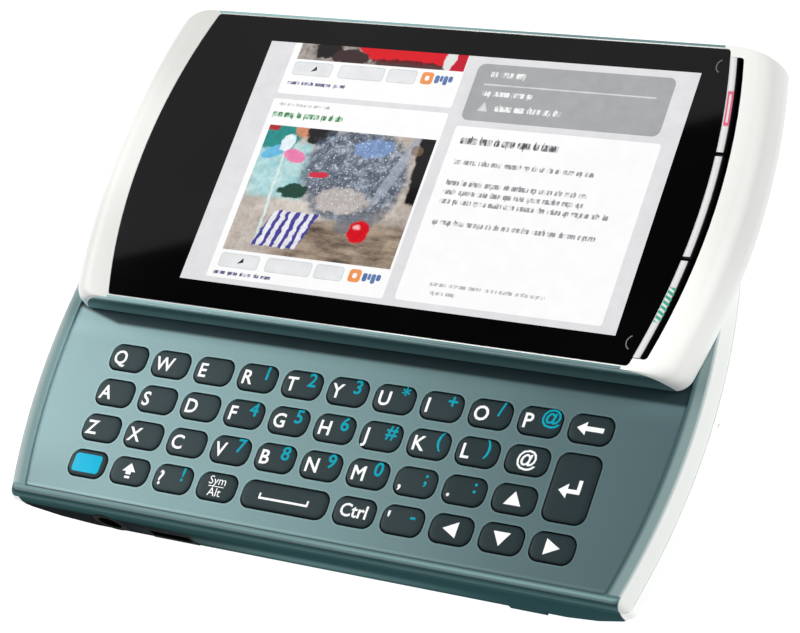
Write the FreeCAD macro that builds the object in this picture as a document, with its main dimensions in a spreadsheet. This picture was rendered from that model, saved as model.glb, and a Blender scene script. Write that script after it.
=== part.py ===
import FreeCAD, Part
import math
import os
import Sketcher
from FreeCAD import Vector

# Slider phone, modelled open.  X runs along the phone, +Y is the way the display half opens,
# +Z is up.  The origin is on the flat rest face of the back, in the middle of the base.
# All sizes are millimetres.

doc = FreeCAD.newDocument("slider_phone")

# ---------------------------------------------------------------- driving sizes
SIZES = [
    ("travel", 28.9, "opening travel of the display half"),
    ("slideGap", 0.15, "air between the base rim and the display half"),
    ("seam", 0.12, "visible joint between two casing pieces"),
    ("fitGap", 0.1, "assembly clearance of an inner piece"),
    ("endRadius", 100.0, "plan radius of both curved ends"),
    ("cornerRadius", 2.5, "plan corner radius of the display half"),
    ("baseCorner", 1.0, "plan corner radius of the base, from the belt up"),
    # base
    ("baseHeight", 10.0, "base, rest face to rim"),
    ("baseMidHalf", 54.5, "half length of the base at its widest level"),
    ("baseHalfWidth", 26.0, "half width of the base at its widest level"),
    ("beltDrop", 3.0, "level where the base is longest, below the rim"),
    ("rimEndInset", 2.1, "rim edge inside the belt, at the ends"),
    ("rimSideInset", 0.9, "rim edge inside the belt, along the sides"),
    ("rimBulge", 0.32, "share of these insets used up half way between belt and rim"),
    ("keelRun", 24.0, "length over which the back curves up to each end"),
    ("keelPower", 1.6, "fullness of that curve"),
    ("keelCorner", 0.3, "corner radius of the base at the rest face"),
    ("sideRun", 2.4, "rounding of the back along the sides"),
    ("wallThickness", 1.2, "casing wall"),
    ("rimDepth", 1.8, "height of the rim above the walls and the cover"),
    ("coverInset", 3.2, "edge of the cover inside the side of the base"),
    ("splitInset", 5.3, "where the long walls stop, inside the end of the base"),
    ("ringInset", 3.6, "end of the frame's inner ring, inside the end of the base"),
    ("ringDepth", 2.55, "lower edge of that ring, below the rim"),
    ("ledgeInset", 5.1, "end of the cavity in the ring, inside the end of the base"),
    ("ledgeSideInset", 3.0, "side of that cavity, inside the side of the base"),
    # keyboard deck
    ("deckInset", 3.9, "end of the deck recess, inside the end of the base"),
    ("deckSideInset", 1.55, "side of the deck recess, inside the side of the base"),
    ("deckCorner", 0.6, "corner radius of the deck recess"),
    ("innerCorner", 2.0, "corner radius of the cavity, the battery and the rail plate"),
    ("deckDrop", 0.3, "deck surface below the rim"),
    ("deckThickness", 0.7, "deck panel"),
    # keys
    ("keyMargin", 17.27, "length of the deck that the columns of keys leave free"),
    ("keyShift", -0.05, "middle of the key field, from the middle of the base"),
    ("keySpaceX", 1.23, "space between two columns"),
    ("keyPitchY", 5.64, "row pitch"),
    ("keySpaceY", 1.6, "space between two rows"),
    ("keyFront", 6.5, "middle of the last row, from the front of the base"),
    ("keyCorner", 0.85, "cut corner of a key cap"),
    ("keyProud", 0.3, "key top above the deck"),
    ("keyEdge", 0.22, "bevel round the key top"),
    ("keyGap", 0.15, "air between a key and its hole"),
    ("keyFlange", 0.45, "retaining flange beyond the cap"),
    ("flangeThickness", 0.45, "retaining flange"),
    ("flangeGap", 0.2, "flange below the deck"),
    ("keyStroke", 0.3, "press of a key"),
    ("matThickness", 0.85, "key mat"),
    ("domeWidth", 2.2, "actuator block under a key"),
    ("domeHeight", 0.3, "actuator block above the mat"),
    ("domeGap", 0.08, "air left under a pressed key"),
    # slide
    ("guidePlate", 0.3, "plate that carries the shoes"),
    ("guideInset", 16.0, "end of that plate, inside the end of the display half"),
    ("guideCover", 1.7, "its front edge, behind the front of the opened display half"),
    ("guideBackInset", 3.4, "its back edge, inside the back of the base"),
    ("shoeInset", 23.0, "middle of the shoes, inside the end of the display half"),
    ("shoeFrontInset", 4.5, "front pair of shoes, from the plate's front edge"),
    ("shoeBackInset", 4.1, "back pair of shoes, from the plate's back edge"),
    ("shoeLength", 4.0, "shoe along the slot"),
    ("neckWidth", 2.9, "shoe neck"),
    ("slotGap", 0.05, "running clearance of a neck in its slot"),
    ("headWidth", 5.0, "shoe head"),
    ("headThickness", 0.5, "shoe head"),
    ("headGap", 0.1, "head above the rail plate"),
    ("railThickness", 0.5, "rail plate"),
    ("railInset", 12.0, "end of the rail plate, inside the end of the display half"),
    ("railSideInset", 1.6, "side of the rail plate, inside the side of the display half"),
    ("endStop", 0.15, "slot beyond the shoes at each end of the travel"),
    # display half
    ("sliderHeight", 4.85, "display half"),
    ("sliderInset", 1.5, "end of the display half, inside the end of the base"),
    ("sliderSideInset", 1.4, "side of the display half, inside the side of the base"),
    ("capRun", 4.6, "length over which the end caps round down"),
    ("sideLean", 0.12, "lean of the long sides"),
    ("trimThickness", 0.5, "teal trim along the long sides"),
    ("trimTopInset", 10.8, "trim end at its top edge, inside the end of the display half"),
    ("trimBottomInset", 4.4, "trim end at its bottom edge, inside the same end"),
    ("trimEndRadius", 7.6, "curve of the trim's ends"),
    ("leftCap", 7.1, "white cap left of the window, at the middle"),
    ("rightCap", 6.9, "white cap right of the window, at the middle"),
    ("windowEdge", 0.75, "edge of the window, inside the side of the display half"),
    ("windowLeftRadius", 75.0, "curve of the window's left end"),
    ("windowRightRadius", 95.0, "curve of the window's right end"),
    ("windowCorner", 0.6, "corner radius of the window"),
    ("windowThickness", 1.1, "window"),
    ("moduleLength", 76.0, "display panel"),
    ("moduleThickness", 1.7, "display panel"),
    ("panelEdge", 3.5, "right end of the panel, inside the end of the window"),
    ("panelSideEdge", 2.6, "side of the panel, inside the side of the display half"),
    ("receiverLength", 6.0, "ear receiver, along X"),
    ("receiverWidth", 12.0, "ear receiver, along Y"),
    ("receiverInset", 6.4, "middle of the ear receiver, inside the left end of the window"),
    # front keys
    ("stripCap", 4.7, "outer edge of the front key strip, inside the end of the display half"),
    ("stripRadius", 92.0, "curve of that edge"),
    ("stripEdge", 1.85, "end of the strip, inside the side of the display half"),
    ("stripDepth", 1.6, "depth of the slot the front keys sit in"),
    ("stripLine", 0.85, "dark line outside the front keys"),
    ("middleKeyHalf", 7.85, "half length of the middle front key"),
    ("frontKeySplit", 0.25, "line between two front keys"),
    ("frontKeyProud", 0.12, "front key above the window"),
    ("frontKeyStroke", 0.3, "press of a front key"),
    # sockets in the front wall
    ("jackInset", 19.9, "audio socket, from the left end of the base"),
    ("jackRoom", 0.07, "air between the audio socket and the key mat"),
    ("jackBore", 1.8, "audio socket bore radius"),
    ("jackBody", 2.25, "audio socket body radius"),
    ("jackBezel", 2.75, "audio socket bezel radius"),
    ("jackDepth", 13.0, "audio socket bore depth"),
    ("bezelLength", 3.0, "length of the bezels in the wall"),
    ("dataInset", 30.3, "data socket, from the left end of the base"),
    ("dataRoom", 0.52, "air between the data socket and the main board"),
    ("dataLength", 8.0, "data socket bezel along X"),
    ("dataHeight", 3.6, "data socket bezel"),
    ("dataSlotLength", 7.0, "mouth of the data socket"),
    ("dataSlotHeight", 1.9, "mouth of the data socket"),
    ("dataSlotDepth", 5.0, "mouth of the data socket"),
    # inner pieces
    ("batteryInset", 34.5, "end of the battery, inside the end of the base"),
    ("batterySideInset", 7.0, "side of the battery, inside the side of the base"),
    ("batteryX", 8.5, "middle of the battery"),
    ("batterySeat", 1.35, "underside of the battery"),
    ("batteryRoom", 0.67, "air between the battery and the main board"),
    ("boardInset", 9.5, "end of the main board, inside the end of the base"),
    ("boardSideInset", 5.5, "side of the main board, inside the side of the base"),
    ("boardThickness", 0.8, "main board"),
    ("boardGap", 0.1, "air between the board and the key mat"),
    ("shieldLength", 12.0, "shield can"),
    ("shieldWidth", 20.0, "shield can"),
    ("shieldHeight", 2.4, "shield can"),
    ("shieldInset", 35.5, "shield can, from the left end of the base"),
    ("shieldY", -5.0, "middle of the shield can"),
    ("speakerLength", 10.0, "loudspeaker"),
    ("speakerWidth", 10.0, "loudspeaker"),
    ("speakerInset", 13.5, "loudspeaker, from the left end of the base"),
    ("speakerHeight", 1.9, "loudspeaker"),
    ("cameraInset", 25.5, "camera axis, from the left end of the base"),
    ("cameraSideInset", 14.5, "camera axis, from the back of the base"),
    ("cameraBody", 9.0, "camera body, square"),
    ("cameraSeat", 1.9, "underside of the camera body"),
    ("lensRadius", 3.6, "lens barrel"),
    ("lensInset", 0.2, "lens above the rest face"),
    ("lightInset", 35.0, "photo light, from the left end of the base"),
    ("lightRadius", 1.3, "photo light"),
    # side keys
    ("sideKeyProud", 0.45, "side key beyond the wall"),
    ("sideKeyDrop", 1.7, "middle of the side keys, below the belt"),
    ("sideKeyHeight", 2.3, "side key"),
    ("sideKeyGap", 0.15, "air between a side key and its opening"),
    ("volumeInset", 34.5, "middle of the volume rocker, from the left end of the base"),
    ("volumeLength", 19.0, "volume rocker"),
    ("shutterInset", 20.5, "middle of the camera key, from the right end of the base"),
    ("shutterLength", 9.0, "camera key"),
    ("powerY", 10.0, "middle of the power key"),
    ("powerLength", 6.0, "power key"),
    ("powerHeight", 1.4, "power key"),
    ("powerSeat", 2.6, "power key's flange inside the widest point of the end"),
    ("catchInset", 21.3, "cover catch in the front wall, from the right end of the base"),
    ("catchLength", 5.6, "cover catch"),
    ("catchHeight", 2.0, "cover catch"),
    ("micLength", 3.6, "microphone slot"),
    ("micHeight", 0.8, "microphone slot"),
    ("micDepth", 0.6, "microphone slot"),
]

sizes = doc.addObject("Spreadsheet::Sheet", "sizes")
for row, (alias, value, note) in enumerate(SIZES, 1):
    sizes.set(f"A{row}", note)
    sizes.set(f"B{row}", str(value))
    sizes.setAlias(f"B{row}", alias)
doc.recompute()

KEY_NAMES = [
    ["q", "w", "e", "r", "t", "y", "u", "i", "o", "p", "backspace"],
    ["a", "s", "d", "f", "g", "h", "j", "k", "l", "at_sign", "enter"],
    ["z", "x", "c", "v", "b", "n", "m", "comma", "period", "up", None],
    ["function", "shift", "question", "symbol", "space", None, "control", "quote",
     "left", "down", "right"],
]
COLUMNS = len(KEY_NAMES[0])
ROWS = len(KEY_NAMES)

# ---------------------------------------------------------------- places worked out from the sheet
# levels of the base
BELT = "(sizes.baseHeight - sizes.beltDrop)"
SHOULDER = "(sizes.baseHeight - sizes.rimDepth)"
RING_BOTTOM = "(sizes.baseHeight - sizes.ringDepth)"
DECK_TOP = "(sizes.baseHeight - sizes.deckDrop)"
DECK_BOTTOM = f"({DECK_TOP} - sizes.deckThickness)"
FLANGE_TOP = f"({DECK_BOTTOM} - sizes.flangeGap)"
KEY_BOTTOM = f"({FLANGE_TOP} - sizes.flangeThickness)"
MAT_TOP = f"({KEY_BOTTOM} - sizes.keyStroke - sizes.domeGap - sizes.domeHeight)"
MAT_BOTTOM = f"({MAT_TOP} - sizes.matThickness)"
BOARD_TOP = f"({MAT_BOTTOM} - sizes.boardGap)"
BOARD_BOTTOM = f"({BOARD_TOP} - sizes.boardThickness)"
BATTERY_TOP = f"({BOARD_BOTTOM} - sizes.batteryRoom)"
SIDE_KEY_LEVEL = f"({BELT} - sizes.sideKeyDrop)"
JACK_LEVEL = f"({MAT_BOTTOM} - sizes.jackRoom - sizes.jackBody)"
DATA_LEVEL = f"({BOARD_BOTTOM} - sizes.dataRoom - sizes.dataHeight / 2)"
# levels of the display half
SLIDER_BOTTOM = "(sizes.baseHeight + sizes.slideGap)"
SLIDER_TOP = f"({SLIDER_BOTTOM} + sizes.sliderHeight)"
GUIDE_TOP = f"({DECK_TOP} + sizes.guidePlate)"
RAIL_TOP = f"({SLIDER_BOTTOM} + sizes.railThickness)"
HEAD_BOTTOM = f"({RAIL_TOP} + sizes.headGap)"
HEAD_TOP = f"({HEAD_BOTTOM} + sizes.headThickness)"
MODULE_TOP = f"({SLIDER_TOP} - sizes.windowThickness)"
MODULE_BOTTOM = f"({MODULE_TOP} - sizes.moduleThickness)"
STRIP_FLOOR = f"({SLIDER_TOP} - sizes.stripDepth)"
# along the base
END_SPLIT = "(sizes.baseMidHalf - sizes.splitInset)"
RING_REACH = "(sizes.baseMidHalf - sizes.ringInset)"
LEDGE_REACH = "(sizes.baseMidHalf - sizes.ledgeInset)"
DECK_REACH = "(sizes.baseMidHalf - sizes.deckInset)"
PITCH_X = f"((2 * {DECK_REACH} - sizes.keyMargin) / {COLUMNS})"
KEY_FIRST_X = f"(sizes.keyShift - {PITCH_X} * ({COLUMNS} - 1) / 2)"
KEY_LENGTH = f"({PITCH_X} - sizes.keySpaceX)"
JACK_X = "(sizes.jackInset - sizes.baseMidHalf)"
DATA_X = "(sizes.dataInset - sizes.baseMidHalf)"
CATCH_X = "(sizes.baseMidHalf - sizes.catchInset)"
VOLUME_X = "(sizes.volumeInset - sizes.baseMidHalf)"
SHUTTER_X = "(sizes.baseMidHalf - sizes.shutterInset)"
CAMERA_X = "(sizes.cameraInset - sizes.baseMidHalf)"
LIGHT_X = "(sizes.lightInset - sizes.baseMidHalf)"
SHIELD_X = "(sizes.shieldInset - sizes.baseMidHalf)"
SPEAKER_X = "(sizes.speakerInset - sizes.baseMidHalf)"
BOARD_LENGTH = "(2 * (sizes.baseMidHalf - sizes.boardInset))"
BATTERY_LENGTH = "(2 * (sizes.baseMidHalf - sizes.batteryInset))"
# across the base
COVER_SIDE = "(sizes.baseHalfWidth - sizes.coverInset)"
LEDGE_SIDE = "(sizes.baseHalfWidth - sizes.ledgeSideInset)"
DECK_SIDE = "(sizes.baseHalfWidth - sizes.deckSideInset)"
KEY_FIRST_Y = f"(sizes.keyFront + ({ROWS} - 1) * sizes.keyPitchY - sizes.baseHalfWidth)"
KEY_WIDTH = "(sizes.keyPitchY - sizes.keySpaceY)"
BOARD_WIDTH = "(2 * (sizes.baseHalfWidth - sizes.boardSideInset))"
BATTERY_WIDTH = "(2 * (sizes.baseHalfWidth - sizes.batterySideInset))"
CAMERA_Y = "(sizes.baseHalfWidth - sizes.cameraSideInset)"
# along and across the display half
SLIDER_REACH = "(sizes.baseMidHalf - sizes.sliderInset)"
SLIDER_SIDE = "(sizes.baseHalfWidth - sizes.sliderSideInset)"
TRIM_TOP = f"({SLIDER_REACH} - sizes.trimTopInset)"
TRIM_BOTTOM = f"({SLIDER_REACH} - sizes.trimBottomInset)"
WINDOW_LEFT = f"({SLIDER_REACH} - sizes.leftCap)"
WINDOW_RIGHT = f"({SLIDER_REACH} - sizes.rightCap)"
WINDOW_SIDE = f"({SLIDER_SIDE} - sizes.windowEdge)"
PANEL_X = f"({WINDOW_RIGHT} - sizes.panelEdge - sizes.moduleLength / 2)"
PANEL_WIDTH = f"(2 * ({SLIDER_SIDE} - sizes.panelSideEdge))"
RECEIVER_X = f"(sizes.receiverInset - {WINDOW_LEFT})"
STRIP_OUTER = f"({SLIDER_REACH} - sizes.stripCap)"
STRIP_SIDE = f"({SLIDER_SIDE} - sizes.stripEdge)"
# the slide
RAIL_REACH = f"({SLIDER_REACH} - sizes.railInset)"
RAIL_SIDE = f"({SLIDER_SIDE} - sizes.railSideInset)"
GUIDE_REACH = f"({SLIDER_REACH} - sizes.guideInset)"
GUIDE_NEAR = f"(sizes.travel - {SLIDER_SIDE} + sizes.guideCover)"
GUIDE_FAR = "(sizes.baseHalfWidth - sizes.guideBackInset)"
SHOE_X = f"({SLIDER_REACH} - sizes.shoeInset)"
SHOE_NEAR = f"({GUIDE_NEAR} + sizes.shoeFrontInset)"
SHOE_FAR = f"({GUIDE_FAR} - sizes.shoeBackInset)"
SLOT_NEAR = f"({SHOE_NEAR} - sizes.shoeLength / 2 - sizes.endStop)"
SLOT_FAR = f"({SHOE_FAR} + sizes.shoeLength / 2 + sizes.travel + sizes.endStop)"

BEYOND = 5.0        # how far a cutting block reaches past what it cuts
TOUCH = 1e-6        # two levels this close are the same
CORNER_OFFSET = round(2 - math.sqrt(2), 4)      # growth of a 45 degree cut, sides moved out by 1
# outlines that the halves are lofted through, as shares of the depth or the height
KEEL_SHARES = (1.0, 0.98, 0.9, 0.77, 0.55, 0.28, 0.0)
CAVITY_SHARES = (1.0, 0.9, 0.55, 0.0)
RING_SHARES = (1.0, 0.55, 0.0)
CAP_SHARES = (0.0, 0.35, 0.65, 0.86, 0.97, 1.0)


# ---------------------------------------------------------------- helpers
def value(expression):
    """The number that an expression on the sheet gives now."""
    return float(sizes.evalExpression(expression))


def bind(thing, **properties):
    """Bind properties of an object to expressions; __ in a name stands for a dot."""
    for name, expression in properties.items():
        thing.setExpression(name.replace("__", "."), expression)


def place(thing, x="0", y="0", z="0"):
    bind(thing, Placement__Base__x=x, Placement__Base__y=y, Placement__Base__z=z)


def new_body(name):
    return doc.addObject("PartDesign::Body", name)


def new_sketch(body, plane="XY_Plane", level=None):
    """A sketch on one of the body's own origin planes, lifted to a level."""
    sketch = body.newObject("Sketcher::SketchObject", body.Name + "_sketch")
    support = [item for item in body.Origin.OriginFeatures if item.Role == plane][0]
    sketch.AttachmentSupport = [(support, "")]
    sketch.MapMode = "FlatFace"
    if level is not None:
        sketch.setExpression("AttachmentOffset.Base.z", level)
    return sketch


def fix(sketch, kind, *target, to):
    """Add a dimension and bind it to an expression."""
    number = sketch.addConstraint(Sketcher.Constraint(kind, *target, value(to)))
    label = f"size{number}"
    sketch.renameConstraint(number, label)
    sketch.setExpression(f"Constraints.{label}", to)


def arc_through(centre, radius, start, end):
    circle = Part.Circle(Vector(centre[0], centre[1], 0), Vector(0, 0, 1), radius)
    return Part.ArcOfCircle(circle, start, end)


def arc_ended(sketch, left, right, half_width, left_radius, right_radius, corner):
    """The phone's outline: two straight sides, two curved ends and four rounded corners.

    left and right are how far the ends reach from the sketch's origin, on the middle line.
    """
    reach = (value(right), value(left))
    radii = (value(right_radius), value(left_radius))
    side = value(half_width)
    round_off = value(corner)
    end_turn = [math.asin((side - round_off) / (radius - round_off)) for radius in radii]
    end_centre = [reach[0] - radii[0], radii[1] - reach[1]]
    corner_x = [end_centre[0] + (radii[0] - round_off) * math.cos(end_turn[0]),
                end_centre[1] - (radii[1] - round_off) * math.cos(end_turn[1])]
    inner = side - round_off
    turn = math.pi / 2
    pieces = [
        arc_through((end_centre[0], 0), radii[0], -end_turn[0], end_turn[0]),
        arc_through((corner_x[0], inner), round_off, end_turn[0], turn),
        Part.LineSegment(Vector(corner_x[0], side, 0), Vector(corner_x[1], side, 0)),
        arc_through((corner_x[1], inner), round_off, turn, 2 * turn - end_turn[1]),
        arc_through((end_centre[1], 0), radii[1], 2 * turn - end_turn[1], 2 * turn + end_turn[1]),
        arc_through((corner_x[1], -inner), round_off, 2 * turn + end_turn[1], 3 * turn),
        Part.LineSegment(Vector(corner_x[1], -side, 0), Vector(corner_x[0], -side, 0)),
        arc_through((corner_x[0], -inner), round_off, 3 * turn, 4 * turn - end_turn[0]),
    ]
    sketch.addGeometry(pieces)
    count = len(pieces)
    for index in range(count):
        joint = ("Tangent", index, 2, (index + 1) % count, 1)
        sketch.addConstraint(Sketcher.Constraint(*joint))
    for index, sign in ((2, ""), (6, "-")):
        sketch.addConstraint(Sketcher.Constraint("Horizontal", index))
        fix(sketch, "DistanceY", -1, 1, index, 1, to=f"{sign}({half_width})")
    for index in (1, 3, 5, 7):
        fix(sketch, "Radius", index, to=corner)
    for index, centre_x, radius in ((0, f"({right}) - ({right_radius})", right_radius),
                                    (4, f"({left_radius}) - ({left})", left_radius)):
        sketch.addConstraint(Sketcher.Constraint("PointOnObject", index, 3, -1))
        fix(sketch, "DistanceX", -1, 1, index, 3, to=centre_x)
        fix(sketch, "Radius", index, to=radius)


def rounded_rectangle(sketch, length, width, corner):
    """A rectangle with rounded corners, centred on the sketch's origin."""
    half_x = value(length) / 2
    half_y = value(width) / 2
    round_off = value(corner)
    turn = math.pi / 2
    signs = ((1, 1), (-1, 1), (-1, -1), (1, -1))
    pieces = []
    for quarter, (sx, sy) in enumerate(signs):
        centre = (sx * (half_x - round_off), sy * (half_y - round_off))
        start = quarter * turn
        pieces.append(arc_through(centre, round_off, start, start + turn))
        nx, ny = signs[(quarter + 1) % 4]
        if quarter % 2 == 0:
            ends = ((centre[0], sy * half_y), (nx * (half_x - round_off), sy * half_y))
        else:
            ends = ((sx * half_x, centre[1]), (sx * half_x, ny * (half_y - round_off)))
        pieces.append(Part.LineSegment(Vector(*ends[0], 0), Vector(*ends[1], 0)))
    sketch.addGeometry(pieces)
    for index in range(8):
        sketch.addConstraint(Sketcher.Constraint("Tangent", index, 2, (index + 1) % 8, 1))
    for index in (0, 2, 4, 6):
        fix(sketch, "Radius", index, to=corner)
    for index, sign in ((1, ""), (5, "-")):
        sketch.addConstraint(Sketcher.Constraint("Horizontal", index))
        fix(sketch, "DistanceY", -1, 1, index, 1, to=f"{sign}({width}) / 2")
    for index, sign in ((3, "-"), (7, "")):
        sketch.addConstraint(Sketcher.Constraint("Vertical", index))
        fix(sketch, "DistanceX", -1, 1, index, 1, to=f"{sign}({length}) / 2")


def polygon(sketch, corners):
    """A closed outline of straight lines through corners given as pairs of expressions."""
    points = [Vector(value(x), value(y), 0) for x, y in corners]
    count = len(points)
    sketch.addGeometry([Part.LineSegment(points[index], points[(index + 1) % count])
                        for index in range(count)])
    for index, (x, y) in enumerate(corners):
        joint = ("Coincident", index, 2, (index + 1) % count, 1)
        sketch.addConstraint(Sketcher.Constraint(*joint))
        fix(sketch, "DistanceX", -1, 1, index, 1, to=x)
        fix(sketch, "DistanceY", -1, 1, index, 1, to=y)


def plain_rectangle(sketch, length, width):
    """A rectangle centred on the sketch's origin."""
    x, y = f"({length}) / 2", f"({width}) / 2"
    polygon(sketch, [(x, f"-{y}"), (x, y), (f"-{x}", y), (f"-{x}", f"-{y}")])


def cut_corner_rectangle(sketch, length, width, corner):
    """A rectangle with its corners cut off, centred on the sketch's origin."""
    x, y = f"({length}) / 2", f"({width}) / 2"
    near_x, near_y = f"(({length}) / 2 - ({corner}))", f"(({width}) / 2 - ({corner}))"
    polygon(sketch, [(x, f"-{near_y}"), (x, near_y), (near_x, y), (f"-{near_x}", y),
                     (f"-{x}", near_y), (f"-{x}", f"-{near_y}"), (f"-{near_x}", f"-{y}"),
                     (near_x, f"-{y}")])


def pad(body, sketch, height):
    feature = body.newObject("PartDesign::Pad", body.Name + "_pad")
    feature.Profile = sketch
    bind(feature, Length=height)
    body.Tip = feature
    return feature


def lofted_half(name, levels):
    """One half of the phone, lofted through outlines at several levels.

    Each level is (height, end reach, half width, corner radius) as expressions.
    """
    body = new_body(name)
    sketches = []
    for height, reach, half_width, corner in levels:
        sketch = new_sketch(body, level=height)
        arc_ended(sketch, reach, reach, half_width, "sizes.endRadius", "sizes.endRadius", corner)
        sketches.append(sketch)
    loft = body.newObject("PartDesign::AdditiveLoft", name + "_loft")
    loft.Profile = sketches[0]
    loft.Sections = sketches[1:]
    loft.Ruled = True
    body.Tip = loft
    return body


def outline_block(name, left, right, half_width, left_radius, right_radius, corner, low, high,
                  y="0"):
    """A block with the phone's outline between two levels."""
    body = new_body(name)
    sketch = new_sketch(body)
    arc_ended(sketch, left, right, half_width, left_radius, right_radius, corner)
    pad(body, sketch, f"({high}) - ({low})")
    place(body, y=y, z=low)
    return body


def rounded_block(name, length, width, corner, low, high, x="0", y="0"):
    body = new_body(name)
    sketch = new_sketch(body)
    rounded_rectangle(sketch, length, width, corner)
    pad(body, sketch, f"({high}) - ({low})")
    place(body, x, y, low)
    return body


def box(name, x, y, z):
    """A plain block; x, y and z are pairs of expressions, low and high."""
    block = doc.addObject("Part::Box", name)
    bind(block, Length=f"({x[1]}) - ({x[0]})", Width=f"({y[1]}) - ({y[0]})",
         Height=f"({z[1]}) - ({z[0]})")
    place(block, x[0], y[0], z[0])
    return block


def cylinder_z(name, radius, x, y, low, high):
    round_bar = doc.addObject("Part::Cylinder", name)
    bind(round_bar, Radius=radius, Height=f"({high}) - ({low})")
    place(round_bar, x, y, low)
    return round_bar


def cylinder_y(name, radius, x, z, near, far):
    """A cylinder along +Y from near to far."""
    round_bar = doc.addObject("Part::Cylinder", name)
    bind(round_bar, Radius=radius, Height=f"({far}) - ({near})")
    round_bar.Placement.Rotation = FreeCAD.Rotation(Vector(1, 0, 0), -90)
    place(round_bar, x, near, z)
    return round_bar


def middle(centre, length):
    """Low and high of a length about its centre."""
    return (f"({centre}) - ({length}) / 2", f"({centre}) + ({length}) / 2")


def fuse(name, *things):
    joined = doc.addObject("Part::MultiFuse", name)
    joined.Shapes = list(things)
    return joined


def cut(name, base, *tools):
    result = doc.addObject("Part::Cut", name)
    result.Base = base
    result.Tool = tools[0] if len(tools) == 1 else fuse(name + "_tools", *tools)
    return result


def common(name, first, second):
    result = doc.addObject("Part::MultiCommon", name)
    result.Shapes = [first, second]
    return result


def group(name, *things):
    """Several solids that lie apart and are kept as one piece."""
    result = doc.addObject("Part::Compound", name)
    result.Links = list(things)
    return result


parts = {}


def keep(node, thing):
    """Name a finished piece, which is written to its own file."""
    thing.Label = node
    parts[node] = thing
    return thing


# ---------------------------------------------------------------- the base's outer form
def base_form(name, inset, belt_corner, keel_shares):
    """The base as a solid, or the cavity inside its wall when inset is the wall's thickness.

    belt_corner is the corner radius from the belt up, and keel_shares are the depths of the
    outlines below the belt, as shares of the whole depth.
    """
    levels = []
    for share in keel_shares:
        height = f"({BELT} - {inset}) * (1 - {share}) + {inset}"
        run_left = f"(1 - (1 - {share} ^ sizes.keelPower) ^ (1 / sizes.keelPower))"
        rise = f"min(1; ({BELT} - {inset}) * (1 - {share}) / sizes.sideRun)"
        side_off = f"sizes.sideRun * (1 - sqrt(1 - (1 - {rise}) ^ 2))"
        levels.append((height,
                       f"sizes.baseMidHalf - {inset} - sizes.keelRun * {run_left}",
                       f"sizes.baseHalfWidth - {inset} - {side_off}",
                       f"{belt_corner} + (sizes.keelCorner - {belt_corner}) * {share}"))
    levels.append((f"({BELT} + sizes.baseHeight) / 2",
                   f"sizes.baseMidHalf - {inset} - sizes.rimEndInset * sizes.rimBulge",
                   f"sizes.baseHalfWidth - {inset} - sizes.rimSideInset * sizes.rimBulge",
                   belt_corner))
    levels.append(("sizes.baseHeight",
                   f"sizes.baseMidHalf - {inset} - sizes.rimEndInset",
                   f"sizes.baseHalfWidth - {inset} - sizes.rimSideInset",
                   belt_corner))
    return lofted_half(name, levels)


# ---------------------------------------------------------------- base: casing
base_outer = base_form("base_outer", "0", "sizes.baseCorner", KEEL_SHARES)
base_inner = base_form("base_inner", "sizes.wallThickness", "sizes.keelCorner", CAVITY_SHARES)
base_skin = cut("base_skin", base_outer, base_inner)
base_cavity = outline_block("base_cavity", LEDGE_REACH, LEDGE_REACH,
                            LEDGE_SIDE, "sizes.endRadius", "sizes.endRadius",
                            "sizes.innerCorner", "0", "sizes.baseHeight")
deck_recess = outline_block("deck_recess", DECK_REACH, DECK_REACH,
                            DECK_SIDE, "sizes.endRadius", "sizes.endRadius",
                            "sizes.deckCorner", DECK_BOTTOM, f"sizes.baseHeight + {BEYOND}")
ring_zone = outline_block("ring_zone", RING_REACH, RING_REACH, "sizes.baseHalfWidth",
                          "sizes.endRadius", "sizes.endRadius", "sizes.baseCorner",
                          RING_BOTTOM, "sizes.baseHeight")
ring_form = base_form("ring_form", "(sizes.wallThickness + sizes.fitGap)", "sizes.keelCorner",
                      RING_SHARES)


def span_x():
    reach = f"(sizes.baseMidHalf + {BEYOND})"
    return (f"-{reach}", reach)


def span_y():
    reach = f"(sizes.baseHalfWidth + {BEYOND})"
    return (f"-{reach}", reach)


def long_wall(side, low, high):
    """The stretch of the casing's skin along one long side, between two places across it."""
    zone = box(f"{side}_zone", (f"-{END_SPLIT}", END_SPLIT), (low, high),
               ("0", f"{SHOULDER} - sizes.seam"))
    return common(f"{side}_bar", base_skin, zone)


def mid_frame():
    """Teal frame: rim with the ring the deck sits on, and the two long walls under it."""
    rim_slab = box("rim_slab", span_x(), span_y(), (SHOULDER, "sizes.baseHeight"))
    rim = common("rim_block", base_outer, rim_slab)
    ring = common("ring_block", ring_form, ring_zone)
    frame = cut("frame_ring", fuse("frame_blank", rim, ring), base_cavity, deck_recess)
    catch = box("cover_catch", middle(CATCH_X, "sizes.catchLength"),
                ("-sizes.baseHalfWidth", f"-{COVER_SIDE}"),
                ("sizes.wallThickness", "sizes.wallThickness + sizes.catchHeight"))
    through = (span_y()[0], f"-{COVER_SIDE} + sizes.wallThickness")
    sockets = [
        cylinder_y("jack_hole", "sizes.jackBezel + sizes.seam", JACK_X, JACK_LEVEL, *through),
        box("data_hole", middle(DATA_X, "sizes.dataLength + 2 * sizes.seam"), through,
            middle(DATA_LEVEL, "sizes.dataHeight + 2 * sizes.seam")),
    ]
    front_bar = long_wall("front", f"-{span_y()[1]}", f"-{COVER_SIDE}")
    front = cut("front_wall", fuse("front_blank", front_bar, catch), *sockets)
    key_holes = [box(name + "_hole", middle(centre, f"{length} + 2 * sizes.sideKeyGap"),
                     (COVER_SIDE, span_y()[1]),
                     middle(SIDE_KEY_LEVEL, "sizes.sideKeyHeight + 2 * sizes.sideKeyGap"))
                 for name, centre, length in (("volume", VOLUME_X, "sizes.volumeLength"),
                                              ("shutter", SHUTTER_X, "sizes.shutterLength"))]
    back = cut("back_wall", long_wall("back", COVER_SIDE, span_y()[1]), *key_holes)
    return keep("mid_frame", group("frame_group", frame, front, back))


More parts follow.
